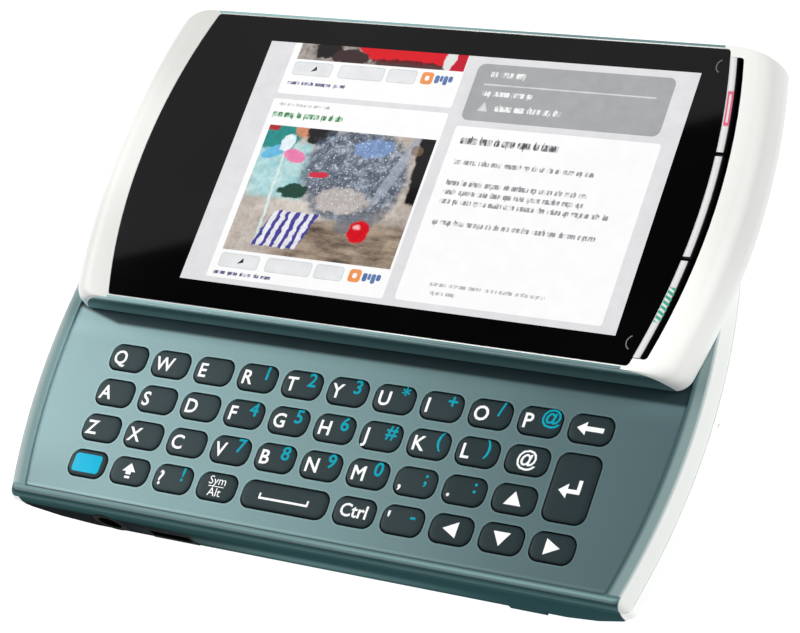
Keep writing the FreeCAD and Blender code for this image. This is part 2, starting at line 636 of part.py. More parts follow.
def battery_cover():
    """White cover: the back and both ends of the base."""
    top = f"{SHOULDER} - sizes.seam"
    back = box("cover_back", span_x(), (f"-{COVER_SIDE} + sizes.seam",
               f"{COVER_SIDE} - sizes.seam"), ("0", top))
    left = box("cover_left", (span_x()[0], f"-{END_SPLIT} - sizes.seam"), span_y(), ("0", top))
    right = box("cover_right", (f"{END_SPLIT} + sizes.seam", span_x()[1]), span_y(), ("0", top))
    blank = common("cover_blank", base_skin, fuse("cover_zone", back, left, right))
    ring_room = outline_block("ring_room", f"{RING_REACH} + sizes.fitGap",
                              f"{RING_REACH} + sizes.fitGap", span_y()[1],
                              "sizes.endRadius", "sizes.endRadius", "sizes.baseCorner",
                              f"{RING_BOTTOM} - sizes.fitGap", "sizes.baseHeight")
    openings = [
        ring_room,
        cylinder_z("lens_hole", "sizes.lensRadius + sizes.fitGap", CAMERA_X,
                   CAMERA_Y, f"-{BEYOND}", f"sizes.wallThickness + {BEYOND}"),
        cylinder_z("light_hole", "sizes.lightRadius + sizes.fitGap", LIGHT_X,
                   CAMERA_Y, f"-{BEYOND}", f"sizes.wallThickness + {BEYOND}"),
        box("power_hole", (span_x()[0], f"-{RING_REACH}"),
            middle("sizes.powerY", "sizes.powerLength + 2 * sizes.sideKeyGap"),
            middle(BELT, "sizes.powerHeight + 2 * sizes.sideKeyGap")),
        box("power_room", ("-(sizes.baseMidHalf - sizes.powerSeat)", f"-{RING_REACH}"),
            middle("sizes.powerY",
                   "sizes.powerLength + 2 * (sizes.keyFlange + sizes.sideKeyGap)"),
            middle(BELT, "sizes.powerHeight + 2 * sizes.sideKeyGap")),
        box("mic_slot", ("sizes.baseMidHalf - sizes.micDepth", span_x()[1]),
            middle("0", "sizes.micLength"), middle(BELT, "sizes.micHeight")),
    ]
    return keep("battery_cover", cut("cover_body", blank, *openings))


# ---------------------------------------------------------------- base: keyboard
def key_places():
    """Each key's name, centre, length and width as expressions."""
    places = []
    for row, names in enumerate(KEY_NAMES):
        for column, name in enumerate(names):
            if name is None:
                continue
            wide = name == "space"
            tall = name == "enter"
            x = f"{KEY_FIRST_X} + {column} * {PITCH_X}"
            y = f"{KEY_FIRST_Y} - {row} * sizes.keyPitchY"
            length = KEY_LENGTH
            width = KEY_WIDTH
            if wide:
                x = f"{x} + {PITCH_X} / 2"
                length = f"{length} + {PITCH_X}"
            if tall:
                y = f"{y} - sizes.keyPitchY / 2"
                width = f"{width} + sizes.keyPitchY"
            places.append((f"key_{name}", x, y, length, width))
    return places


def key_blank(name, x, y, length, width):
    """A key: cap on a flange that keeps it under the deck."""
    body = new_body(name)
    flange = new_sketch(body)
    plain_rectangle(flange, f"{length} + 2 * sizes.keyFlange", f"{width} + 2 * sizes.keyFlange")
    pad(body, flange, "sizes.flangeThickness")
    cap = new_sketch(body)
    cut_corner_rectangle(cap, length, width, "sizes.keyCorner")
    pad(body, cap, f"{DECK_TOP} + sizes.keyProud - {KEY_BOTTOM}")
    place(body, x, y, KEY_BOTTOM)
    return body


def bevel_top(body):
    """Bevel the edge round the cap's top face."""
    cap = body.Tip
    top = cap.Shape.BoundBox.ZMax
    faces = [f"Face{index}" for index, face in enumerate(cap.Shape.Faces, 1)
             if abs(face.BoundBox.ZMin - top) < TOUCH]
    bevel = body.newObject("PartDesign::Chamfer", body.Name + "_bevel")
    bevel.Base = (cap, faces)
    bind(bevel, Size="sizes.keyEdge")
    body.Tip = bevel


def key_caps():
    """All keys, each in a body of its own."""
    bodies = [key_blank(*key) for key in key_places()]
    doc.recompute()
    for body in bodies:
        bevel_top(body)
        keep(body.Name, body)


def keyboard_deck():
    """Deck panel with a hole for every key."""
    body = new_body("deck_body")
    outline = new_sketch(body)
    reach = f"{DECK_REACH} - sizes.seam"
    arc_ended(outline, reach, reach, f"{DECK_SIDE} - sizes.seam", "sizes.endRadius",
              "sizes.endRadius", "sizes.deckCorner")
    pad(body, outline, "sizes.deckThickness")
    place(body, z=DECK_BOTTOM)
    holes = []
    corner = f"sizes.keyCorner + sizes.keyGap * {CORNER_OFFSET}"
    for name, x, y, length, width in key_places():
        hole = new_body(name + "_hole")
        outline = new_sketch(hole)
        cut_corner_rectangle(outline, f"{length} + 2 * sizes.keyGap",
                             f"{width} + 2 * sizes.keyGap", corner)
        pad(hole, outline, "sizes.deckThickness")
        place(hole, x, y, DECK_BOTTOM)
        holes.append(hole)
    return keep("keyboard_deck", cut("deck_panel", body, *holes))


def key_mat():
    """Silicone mat with an actuator block under every key."""
    reach = f"2 * ({LEDGE_REACH} - sizes.keyFlange) - {KEY_LENGTH}"
    near = f"{KEY_FIRST_Y} - ({ROWS} - 1) * sizes.keyPitchY - {KEY_WIDTH} / 2"
    far = f"{KEY_FIRST_Y} + {KEY_WIDTH} / 2"
    sheet = box("mat_sheet", middle("0", reach), (near, far), (MAT_BOTTOM, MAT_TOP))
    blocks = [box(name + "_dome", middle(x, "sizes.domeWidth"), middle(y, "sizes.domeWidth"),
                  (MAT_TOP, f"{MAT_TOP} + sizes.domeHeight"))
              for name, x, y, length, width in key_places()]
    return keep("key_mat", fuse("mat_body", sheet, *blocks))


# ---------------------------------------------------------------- base: slide guides
def slide_guides():
    """Plate on the deck with four headed shoes, which run in the slots of the rail plate."""
    pieces = [box("guide_plate", middle("0", f"2 * {GUIDE_REACH}"),
                  (GUIDE_NEAR, GUIDE_FAR), (DECK_TOP, GUIDE_TOP))]
    for side, sign in (("left", "-"), ("right", "")):
        for pair, y in (("near", SHOE_NEAR), ("far", SHOE_FAR)):
            x = f"{sign}{SHOE_X}"
            name = f"shoe_{side}_{pair}"
            pieces.append(box(name + "_neck", middle(x, "sizes.neckWidth"),
                              middle(y, "sizes.shoeLength"), (GUIDE_TOP, HEAD_BOTTOM)))
            pieces.append(box(name + "_head", middle(x, "sizes.headWidth"),
                              middle(y, "sizes.shoeLength"), (HEAD_BOTTOM, HEAD_TOP)))
    return keep("slide_guides", fuse("guides_body", *pieces))


def slots(name, width, low, high):
    """Two slots along Y over the whole travel of the shoes."""
    pair = [box(f"{name}_{side}", middle(f"{sign}{SHOE_X}", width), (SLOT_NEAR, SLOT_FAR),
                (low, high))
            for side, sign in (("left", "-"), ("right", ""))]
    return fuse(name, *pair)


def rail_plate():
    plate = rounded_block("rail_blank", f"2 * {RAIL_REACH}", f"2 * {RAIL_SIDE}",
                          "sizes.innerCorner", SLIDER_BOTTOM, RAIL_TOP, y="sizes.travel")
    return keep("rail_plate", cut("rail_body", plate, slots(
        "rail_slots", "sizes.neckWidth + 2 * sizes.slotGap", SLIDER_BOTTOM, RAIL_TOP)))


# ---------------------------------------------------------------- base: inner pieces
def battery():
    return keep("battery", rounded_block(
        "battery_cell", BATTERY_LENGTH, BATTERY_WIDTH, "sizes.innerCorner",
        "sizes.batterySeat", BATTERY_TOP, "sizes.batteryX"))


def audio_socket():
    front = "-sizes.baseHalfWidth"
    bezel = cylinder_y("jack_bezel", "sizes.jackBezel", JACK_X, JACK_LEVEL,
                       front, f"{front} + sizes.bezelLength")
    barrel = cylinder_y("jack_barrel", "sizes.jackBody", JACK_X, JACK_LEVEL,
                        front, f"{front} + sizes.jackDepth + sizes.wallThickness")
    bore = cylinder_y("jack_bore", "sizes.jackBore", JACK_X, JACK_LEVEL,
                      front, f"{front} + sizes.jackDepth")
    return cut("audio_socket", fuse("jack_blank", bezel, barrel), bore)


def data_socket():
    front = "-sizes.baseHalfWidth"
    shell = box("data_shell", middle(DATA_X, "sizes.dataLength"),
                (front, f"{front} + sizes.dataSlotDepth + sizes.wallThickness"),
                middle(DATA_LEVEL, "sizes.dataHeight"))
    mouth = box("data_mouth", middle(DATA_X, "sizes.dataSlotLength"),
                (front, f"{front} + sizes.dataSlotDepth"),
                middle(DATA_LEVEL, "sizes.dataSlotHeight"))
    return cut("data_socket", shell, mouth)


def camera():
    body = box("camera_body", middle(CAMERA_X, "sizes.cameraBody"),
               middle(CAMERA_Y, "sizes.cameraBody"),
               ("sizes.cameraSeat", BOARD_BOTTOM))
    lens = cylinder_z("lens_barrel", "sizes.lensRadius", CAMERA_X, CAMERA_Y,
                      "sizes.lensInset", "sizes.cameraSeat")
    return fuse("camera_module", body, lens)


def main_board():
    """Board with its shield can, loudspeaker, camera, photo light and both sockets."""
    plate = box("board_plate", middle("0", BOARD_LENGTH), middle("0", BOARD_WIDTH),
                (BOARD_BOTTOM, BOARD_TOP))
    notch = box("board_notch", middle(JACK_X, "2 * sizes.jackBezel"),
                (span_y()[0], "-sizes.baseHalfWidth + sizes.jackDepth + 2 * sizes.wallThickness"),
                (BOARD_BOTTOM, BOARD_TOP))
    board = cut("board_body", plate, notch)
    shield = box("shield_can", middle(SHIELD_X, "sizes.shieldLength"),
                 middle("sizes.shieldY", "sizes.shieldWidth"),
                 (f"{BOARD_BOTTOM} - sizes.shieldHeight", BOARD_BOTTOM))
    speaker = box("loudspeaker", middle(SPEAKER_X, "sizes.speakerLength"),
                  middle("0", "sizes.speakerWidth"),
                  (f"{BOARD_BOTTOM} - sizes.speakerHeight", BOARD_BOTTOM))
    light = cylinder_z("photo_light", "sizes.lightRadius", LIGHT_X, CAMERA_Y,
                       "sizes.lensInset", BOARD_BOTTOM)
    return keep("main_board", group("board_group", board, shield, speaker, camera(), light,
                                    audio_socket(), data_socket()))


# ---------------------------------------------------------------- base: side keys
def side_key(name, along, sign, centre, length, level, height, lip, wall):
    """A side key: cap through the wall and a flange behind it, lip taller on both sides.

    along is the axis its length runs on, and wall the outer and the inner face of its wall.
    """
    face = f"{sign} * ({wall[0]} + sizes.sideKeyProud)"
    seat = f"{sign} * ({wall[1]} - sizes.fitGap)"
    back = f"{sign} * ({wall[1]} - sizes.fitGap - sizes.keyFlange)"
    cap_depth = (back, face) if sign > 0 else (face, back)
    flange_depth = (back, seat) if sign > 0 else (seat, back)
    cap_span = middle(centre, length)
    flange_span = middle(centre, f"{length} + 2 * sizes.keyFlange")
    cap_z = middle(level, height)
    flange_z = middle(level, f"{height} + 2 * {lip}")
    if along == "x":
        cap = box(name + "_cap", cap_span, cap_depth, cap_z)
        flange = box(name + "_flange", flange_span, flange_depth, flange_z)
    else:
        cap = box(name + "_cap", cap_depth, cap_span, cap_z)
        flange = box(name + "_flange", flange_depth, flange_span, flange_z)
    blank = fuse(name + "_blank", cap, flange)
    doc.recompute()
    outer = value(face)
    edges = []
    for index, edge in enumerate(blank.Shape.Edges, 1):
        spots = [vertex.Y if along == "x" else vertex.X for vertex in edge.Vertexes]
        if all(abs(spot - outer) < TOUCH for spot in spots):
            edges.append((index, value("sizes.keyEdge"), value("sizes.keyEdge")))
    rounded = doc.addObject("Part::Fillet", name + "_rounded")
    rounded.Base = blank
    rounded.Edges = edges
    return keep(name, rounded)


# ---------------------------------------------------------------- display half
def slider_form():
    """The display half as one solid, with ends that round down from the window."""
    levels = []
    for share in CAP_SHARES:
        height = f"{SLIDER_BOTTOM} + sizes.sliderHeight * {share}"
        back_off = f"sizes.capRun * (1 - sqrt(1 - {share} ^ 2))"
        levels.append((height, f"{SLIDER_REACH} - {back_off}",
                       f"{SLIDER_SIDE} - sizes.sideLean * {share}",
                       "sizes.cornerRadius"))
    body = lofted_half("slider_form", levels)
    place(body, y="sizes.travel")
    return body


def side_trims(form):
    """Teal trims along both long sides, whose ends curve under the white caps."""
    body = new_body("trim_zone")
    sketch = new_sketch(body, "XZ_Plane")
    low, high = value(SLIDER_BOTTOM), value(SLIDER_TOP)
    top, bottom = value(TRIM_TOP), value(TRIM_BOTTOM)
    radius = value("sizes.trimEndRadius")
    chord = math.hypot(bottom - top, high - low)
    sag = math.sqrt(radius ** 2 - (chord / 2) ** 2)
    centre_x = (top + bottom) / 2 - sag * (high - low) / chord
    centre_z = (low + high) / 2 - sag * (bottom - top) / chord
    start = math.atan2(low - centre_z, bottom - centre_x)
    end = math.atan2(high - centre_z, top - centre_x)
    sketch.addGeometry([
        Part.LineSegment(Vector(-bottom, low, 0), Vector(bottom, low, 0)),
        arc_through((centre_x, centre_z), radius, start, end),
        Part.LineSegment(Vector(top, high, 0), Vector(-top, high, 0)),
        arc_through((-centre_x, centre_z), radius, math.pi - end, math.pi - start),
    ])
    for index in range(4):
        sketch.addConstraint(Sketcher.Constraint("Coincident", index, 2, (index + 1) % 4, 1))
    for index, reach, level in ((0, TRIM_BOTTOM, SLIDER_BOTTOM),
                                (2, TRIM_TOP, SLIDER_TOP)):
        signs = ("-", "") if index == 0 else ("", "-")
        for point, sign in enumerate(signs, 1):
            fix(sketch, "DistanceX", -1, 1, index, point, to=f"{sign}{reach}")
            fix(sketch, "DistanceY", -1, 1, index, point, to=level)
    for index in (1, 3):
        fix(sketch, "Radius", index, to="sizes.trimEndRadius")
    block = body.newObject("PartDesign::Pad", "trim_pad")
    block.Profile = sketch
    block.Midplane = True
    bind(block, Length=f"2 * {SLIDER_SIDE} + {BEYOND}")
    body.Tip = block
    place(body, y="sizes.travel")
    inner = f"({SLIDER_SIDE} - sizes.trimThickness)"
    reach = f"({SLIDER_REACH} + {BEYOND})"
    keep_out = box("trim_core", (f"-{reach}", reach),
                   (f"sizes.travel - {inner}", f"sizes.travel + {inner}"),
                   (SLIDER_BOTTOM, SLIDER_TOP))
    return cut("trims_body", common("trim_bars", form, body), keep_out)


def window_block(name, gap, low, high):
    """The window's outline as a block, widened by a gap."""
    return outline_block(name, f"{WINDOW_LEFT} + {gap}", f"{WINDOW_RIGHT} + {gap}",
                         f"{WINDOW_SIDE} + {gap}", f"sizes.windowLeftRadius + {gap}",
                         f"sizes.windowRightRadius + {gap}", f"sizes.windowCorner + {gap}",
                         low, high, y="sizes.travel")


def strip_block(name, gap_in, gap_out, low, high):
    """The strip between the window's right end and the outer edge of the front keys."""
    outer = outline_block(name + "_outer", f"{STRIP_OUTER} - {gap_out}",
                          f"{STRIP_OUTER} - {gap_out}", STRIP_SIDE,
                          "sizes.stripRadius", f"sizes.stripRadius - {gap_out}",
                          "sizes.windowCorner", low, high, y="sizes.travel")
    inner = outline_block(name + "_inner", f"{WINDOW_RIGHT} + {gap_in}",
                          f"{WINDOW_RIGHT} + {gap_in}", f"{WINDOW_SIDE} + {BEYOND}",
                          "sizes.windowRightRadius", f"sizes.windowRightRadius + {gap_in}",
                          "sizes.windowCorner", low, high, y="sizes.travel")
    middle_part = box(name + "_core", (f"-{STRIP_OUTER}", "0"),
                      (f"sizes.travel - {WINDOW_SIDE} - {BEYOND}",
                       f"sizes.travel + {WINDOW_SIDE} + {BEYOND}"), (low, high))
    return cut(name, outer, inner, middle_part)


def panel_block(name, gap, top):
    """The display panel as a block, widened by a gap."""
    return box(name, middle(PANEL_X, f"sizes.moduleLength + 2 * {gap}"),
               middle("sizes.travel", f"{PANEL_WIDTH} + 2 * {gap}"), (MODULE_BOTTOM, top))


def receiver_block(name, gap, top):
    """The ear receiver as a block, widened by a gap."""
    return box(name, middle(RECEIVER_X, f"sizes.receiverLength + 2 * {gap}"),
               middle("sizes.travel", f"sizes.receiverWidth + 2 * {gap}"), (MODULE_BOTTOM, top))


def slider_shell(form, trims):
    """White shell of the display half with its pockets."""
    above = f"{SLIDER_TOP} + {BEYOND}"
    pockets = [
        trims,
        window_block("window_pocket", "sizes.fitGap", MODULE_TOP, above),
        strip_block("strip_pocket", "0", "0", STRIP_FLOOR, above),
        panel_block("module_pocket", "sizes.fitGap", SLIDER_TOP),
        receiver_block("receiver_pocket", "sizes.fitGap", SLIDER_TOP),
        rounded_block("rail_pocket", f"2 * ({RAIL_REACH} + sizes.fitGap)",
                      f"2 * ({RAIL_SIDE} + sizes.fitGap)", "sizes.innerCorner",
                      f"{SLIDER_BOTTOM} - {BEYOND}", RAIL_TOP, y="sizes.travel"),
        slots("head_room", "sizes.headWidth + 2 * sizes.keyGap", SLIDER_BOTTOM,
              f"{HEAD_TOP} + sizes.headGap"),
    ]
    return keep("slider_shell", cut("shell_body", form, *pockets))


def front_keys():
    """Call, menu and end keys: three sectors of one curved strip."""
    line = "sizes.stripLine"
    spans = {
        "end_key": ("sizes.middleKeyHalf + sizes.frontKeySplit", f"{STRIP_SIDE} - sizes.fitGap"),
        "menu_key": ("-sizes.middleKeyHalf", "sizes.middleKeyHalf"),
        "call_key": (f"-{STRIP_SIDE} + sizes.fitGap",
                     "-sizes.middleKeyHalf - sizes.frontKeySplit"),
    }
    for name, (near, far) in spans.items():
        low = f"{STRIP_FLOOR} + sizes.frontKeyStroke + sizes.domeGap"
        strip = strip_block(name + "_strip", "sizes.fitGap", line, low,
                            f"{SLIDER_TOP} + sizes.frontKeyProud")
        sector = box(name + "_sector", ("0", SLIDER_REACH),
                     (f"sizes.travel + {near}", f"sizes.travel + {far}"),
                     (low, f"{SLIDER_TOP} + sizes.frontKeyProud"))
        keep(name, common(name + "_body", strip, sector))


def display_module():
    """Display panel and ear receiver, which lie apart under the window."""
    return keep("display_module", group("module_group", panel_block("lcd_panel", "0", MODULE_TOP),
                                        receiver_block("ear_receiver", "0", MODULE_TOP)))


# ---------------------------------------------------------------- build
mid_frame()
battery_cover()
keyboard_deck()
key_mat()
slide_guides()
battery()
main_board()
key_caps()
SIDE_WALL = ("sizes.baseHalfWidth", "(sizes.baseHalfWidth - sizes.wallThickness)")
END_WALL = ("(sizes.baseMidHalf - sizes.powerY ^ 2 / (2 * sizes.endRadius))",
            "(sizes.baseMidHalf - sizes.powerSeat)")
side_key("volume_key", "x", 1, VOLUME_X, "sizes.volumeLength", SIDE_KEY_LEVEL,
         "sizes.sideKeyHeight", "sizes.keyFlange", SIDE_WALL)
side_key("camera_key", "x", 1, SHUTTER_X, "sizes.shutterLength", SIDE_KEY_LEVEL,
         "sizes.sideKeyHeight", "sizes.keyFlange", SIDE_WALL)
side_key("power_key", "y", -1, "sizes.powerY", "sizes.powerLength", BELT,
         "sizes.powerHeight", "0", END_WALL)
slider = slider_form()
trim_solids = side_trims(slider)
keep("side_trims", trim_solids)
slider_shell(slider, trim_solids)
keep("display_window", window_block("window_glass", "0", MODULE_TOP, SLIDER_TOP))
display_module()
front_keys()
rail_plate()

doc.recompute()

# ---------------------------------------------------------------- check and write
for thing in doc.Objects:
    if "Invalid" in thing.State or "Error" in thing.State:
        raise RuntimeError(f"{thing.Name} failed: {thing.State}")
os.makedirs("parts", exist_ok=True)
for node, thing in parts.items():
    shape = thing.Shape
    if shape.isNull() or not shape.isValid() or not shape.Solids:
        raise RuntimeError(f"{node} has no valid shape")
    shape.exportStep(f"parts/{node}.step")
    print(f"{node:16s} solids {len(shape.Solids):2d}  volume {shape.Volume:9.2f}")
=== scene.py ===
"""Slider phone, dressed round its CAD frame: finishes, key legends, screen page and studio."""
import math
import random

import bmesh
import bpy
from mathutils import Matrix, Vector


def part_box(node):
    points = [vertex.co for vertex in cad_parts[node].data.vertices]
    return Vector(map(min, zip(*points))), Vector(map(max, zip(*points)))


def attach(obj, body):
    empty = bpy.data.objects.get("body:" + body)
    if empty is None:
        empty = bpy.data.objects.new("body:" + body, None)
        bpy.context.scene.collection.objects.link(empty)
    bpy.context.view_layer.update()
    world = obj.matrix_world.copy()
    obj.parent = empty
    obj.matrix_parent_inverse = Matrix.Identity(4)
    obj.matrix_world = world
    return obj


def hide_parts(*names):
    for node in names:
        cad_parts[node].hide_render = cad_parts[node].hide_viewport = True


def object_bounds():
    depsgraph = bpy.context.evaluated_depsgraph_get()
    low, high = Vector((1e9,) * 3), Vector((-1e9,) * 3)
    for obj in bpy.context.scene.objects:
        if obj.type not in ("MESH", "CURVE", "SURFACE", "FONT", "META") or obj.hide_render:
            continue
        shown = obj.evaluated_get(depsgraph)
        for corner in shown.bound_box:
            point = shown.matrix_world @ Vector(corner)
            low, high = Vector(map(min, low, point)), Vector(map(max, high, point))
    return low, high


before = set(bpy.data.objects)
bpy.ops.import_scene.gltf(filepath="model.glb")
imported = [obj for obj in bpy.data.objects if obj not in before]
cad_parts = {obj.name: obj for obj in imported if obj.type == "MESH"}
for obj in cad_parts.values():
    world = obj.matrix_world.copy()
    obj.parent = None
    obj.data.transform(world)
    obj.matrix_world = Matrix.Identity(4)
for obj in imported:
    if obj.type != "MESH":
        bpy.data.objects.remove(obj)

CAD_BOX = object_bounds()
MM = 0.001
GLASS_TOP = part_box("display_window")[1].z / MM
SLIDE_CENTRE = 28.9
END_RADIUS, BASE_REACH = 100.0, 54.5
RIM_INNER, RIM_OUTER, WALL_TOP, WALL_FADE = 24.2, 25.2, 10.0, 35.0
SLOT_REACH, SLOT_RADIUS, SLOT_HALF = 48.3, 92.0, 22.9
STRIP_MIDDLE, STRIP_RADIUS = 46.82, 93.5
SHARP_EDGE, WELD_REACH = 32.0, 2e-6
ZERO, ONE = 0.0, 1.0


def tint(red, green, blue):
    """Linear colour of screen values 0 to 255."""
    return tuple((value / 255 / 12.92) if value < 10.3 else ((value / 255 + 0.055) / 1.055) ** 2.4
                 for value in (red, green, blue))


def shades(*rows):
    """Places with their colours, from rows of a place and three screen values."""
    return [(row[0], tint(*row[1:])) for row in rows]


def teal(level):
    """House colour of the phone, by its green screen value."""
    return tint(0.96 * level - 26, level, level + 2)


NIGHT, SAGE = tint(30, 34, 36), tint(132, 154, 154)
ASH, SNOW = tint(156, 172, 172), tint(216, 221, 218)
PINE, MOSS, SLATE, REED, SEA, WAVE, MIST, FROST, PEARL = (
    teal(level) for level in (62, 74, 88, 100, 110, 124, 144, 164, 194))


# ---------------------------------------------------------------- node materials
# Places in the paints are millimetres, colours are screen values, gains are plain factors.
class Shader:
    """A node material. Places are in millimetres of the object's own frame."""

    def __init__(self, name):
        self.material = bpy.data.materials.new(name)
        self.material.use_nodes = True
        self.tree = self.material.node_tree
        self.tree.nodes.clear()
        own = self.add("ShaderNodeTexCoord").outputs["Object"]
        self.place = self.add("ShaderNodeVectorMath", {0: own, "Scale": 1 / MM},
                              operation="SCALE").outputs[0]
        self.x, self.y, self.z = self.add("ShaderNodeSeparateXYZ", {0: self.place}).outputs

    def add(self, kind, inputs=None, **settings):
        node = self.tree.nodes.new(kind)
        for name, setting in settings.items():
            setattr(node, name, setting)
        for key, value in (inputs or {}).items():
            if isinstance(value, bpy.types.NodeSocket):
                self.tree.links.new(value, node.inputs[key])
            else:
                if node.inputs[key].type == "RGBA" and len(value) == 3:
                    value = (*value, ONE)
                node.inputs[key].default_value = value
        return node

    def math(self, operation, first, second=ZERO):
        return self.add("ShaderNodeMath", {0: first, 1: second}, operation=operation).outputs[0]

    def both(self, *masks):
        """Product of masks."""
        joined = masks[0]
        for mask in masks[1:]:
            joined = self.math("MULTIPLY", joined, mask)
        return joined

    def apart(self, value, middle):
        """Distance of a value from a middle one."""
        return self.math("ABSOLUTE", self.math("SUBTRACT", value, middle))

    def part(self, value, start, end, smooth=True):
        """0 where value is start, 1 where it is end."""
        kind = "SMOOTHSTEP" if smooth else "LINEAR"
        reach = {"Value": value, "From Min": start, "From Max": end}
        return self.add("ShaderNodeMapRange", reach, interpolation_type=kind).outputs[0]

    def between(self, value, low, high):
        """low where value is 0, high where it is 1."""
        return self.add("ShaderNodeMapRange", {0: value, 3: low, 4: high}).outputs[0]

    def ramp(self, value, stops):
        """Colour along a value; stops are places with their colours."""
        node = self.add("ShaderNodeValToRGB", {0: value})
        elements = node.color_ramp.elements
        for element, (position, colour) in ((elements[0], stops[0]), (elements[1], stops[-1])):
            element.position, element.color = position, (*colour, ONE)
        for position, colour in stops[1:-1]:
            elements.new(position).color = (*colour, ONE)
        return node.outputs[0]

    def noise(self, scale, detail=3.0, rough=0.5, stretch=None):
        place = self.place
        if stretch:
            place = self.add("ShaderNodeVectorMath", {0: place, 1: stretch},
                             operation="MULTIPLY").outputs[0]
        return self.add("ShaderNodeTexNoise", {"Vector": place, "Scale": scale, "Detail": detail,
                                               "Roughness": rough}).outputs[0]

    def mix(self, factor, first, second):
        return self.add("ShaderNodeMix", {0: factor, 6: first, 7: second},
                        data_type="RGBA").outputs[2]

    def bump(self, height, distance):
        """Surface relief, distance in millimetres."""
        inputs = {"Height": height, "Distance": distance * MM, "Strength": ONE}
        return self.add("ShaderNodeBump", inputs).outputs[0]

    def scaled(self, colour, gain):
        """A colour made brighter or darker; gain may be a socket."""
        return self.add("ShaderNodeVectorMath", {0: colour, "Scale": gain},
                        operation="SCALE").outputs[0]

    def away(self, x=ZERO, y=ZERO, first=None, second=None, wide=ONE, deep=ONE):
        """Distance from a centre, counted in half widths."""
        along = self.math("DIVIDE", self.math("SUBTRACT", first or self.x, x), wide)
        across = self.math("DIVIDE", self.math("SUBTRACT", second or self.y, y), deep)
        return self.math("SQRT", self.math("ADD", self.math("MULTIPLY", along, along),
                                           self.math("MULTIPLY", across, across)))

    def end_inset(self):
        """Depth inside the curved end of the base, in millimetres."""
        out = self.math("ADD", self.math("ABSOLUTE", self.x), END_RADIUS - BASE_REACH)
        return self.math("SUBTRACT", END_RADIUS, self.away(first=out))

    def strip_offset(self, reach, radius):
        """How far a place lies outside an arc at the right end of the display half."""
        across = self.math("SUBTRACT", self.y, SLIDE_CENTRE)
        sag = self.math("DIVIDE", self.math("MULTIPLY", across, across), 2 * radius)
        return self.math("ADD", self.math("SUBTRACT", self.x, reach), sag)

    def finish(self, **sockets):
        """Principled surface; names are written with _ for a space."""
        surface = self.add("ShaderNodeBsdfPrincipled",
                           {k.replace("_", " "): v for k, v in sockets.items()})
        self.add("ShaderNodeOutputMaterial", {"Surface": surface.outputs[0]})
        return self.material


def moulded(name, low, high, rough, coat=ZERO, gloss=0.5):
    """Moulded plastic: slow colour drift, fine grain, roughness that varies a little."""
    shader = Shader(name)
    colour = shader.ramp(shader.noise(0.12, 2.0), [(0.3, low), (0.7, high)])
    grains = shader.noise(9.0, 4.0, 0.6)
    roughness = shader.between(shader.noise(0.8, 3.0), rough * 0.85, rough * 1.15)
    return shader.finish(Base_Color=colour, Roughness=roughness, Coat_Weight=coat,
                         Coat_Roughness=0.08, Specular_IOR_Level=gloss,
                         Normal=shader.bump(grains, 0.004))


def three_way(shader, left, middle, right):
    """Colour that changes along x between three tones."""
    half = shader.mix(shader.part(shader.x, -WALL_FADE, 0), left, middle)
    return shader.mix(shader.part(shader.x, 0, WALL_FADE), half, right)


def frame_paint():
    """Teal housing: pale end strips with painted shade, white right tip, dark seams, painted
    highlight lines on rim and walls, painted sheen and shade on the lower walls.
    """
    shader = Shader("teal_frame")
    # End strips: a white lip at the outer edge, then painted shade and light that differ between
    # the left and the right end.
    inset = shader.part(shader.end_inset(), 1.5, 4.0, False)
    left_strip_painted_shade = shader.ramp(inset, [(0.3, ASH), (0.65, MIST), (0.88, MIST), (1.0, PEARL)])
    right_strip_painted_shade = shader.ramp(inset, [(0.08, SNOW), (0.25, SAGE), (0.68, SAGE), (0.86, REED)])
    strip = shader.mix(shader.part(shader.x, -4, 4), left_strip_painted_shade, right_strip_painted_shade)
    # Wall bands by height: dark lines stand for seams, light lines are painted highlights. A
    # painted sheen band runs along the lower wall, and its left part is painted near black as
    # shade.
    level = shader.part(shader.z, 0, WALL_TOP, False)
    lines = shader.ramp(level, [(0.76, MOSS), (0.87, SEA), (0.945, PINE), (1.0, MIST)])
    painted_sheen_band = shader.mix(shader.part(shader.apart(level, 0.38), 0.22, 0.0), MOSS, WAVE)
    lower_wall_painted_shade = three_way(shader, NIGHT, painted_sheen_band, MOSS)
    wall = shader.mix(shader.part(level, 0.62, 0.74), lower_wall_painted_shade, lines)
    # Rim top: painted highlight lines across the rim, lighter on the right than on the left.
    rim = shader.part(shader.math("ABSOLUTE", shader.y), RIM_INNER, RIM_OUTER, False)
    left_rim_highlights = shader.ramp(rim, [(0.0, WAVE), (0.5, MIST), (1.0, SEA)])
    right_rim_highlights = shader.ramp(rim, [(0.3, SEA), (0.66, FROST), (1.0, SEA)])
    rim_highlights = shader.mix(shader.part(shader.x, -WALL_FADE, WALL_FADE), left_rim_highlights, right_rim_highlights)
    rim_top = shader.part(shader.z, 9.82, 9.94)
    side = shader.mix(rim_top, wall, rim_highlights)
    teal = shader.mix(shader.part(shader.math("ABSOLUTE", shader.y), 24.15, 24.4), strip, side)
    tip = shader.both(shader.part(shader.end_inset(), 1.9, 1.7), shader.part(shader.x, 0, 1))
    grain = shader.noise(14, 4, 0.65)
    speck = shader.between(grain, 0.95, 1.05)
    painted = shader.mix(tip, shader.scaled(teal, speck), tint(228, 231, 228))
    rough = shader.between(shader.noise(1.2, 3), 0.36, 0.46)
    gloss = shader.between(shader.part(shader.z, 9.3, 9.9), 0.0, 0.2)
    return shader.finish(Base_Color=painted, Roughness=rough, Specular_IOR_Level=gloss,
                         Normal=shader.bump(grain, 0.003))


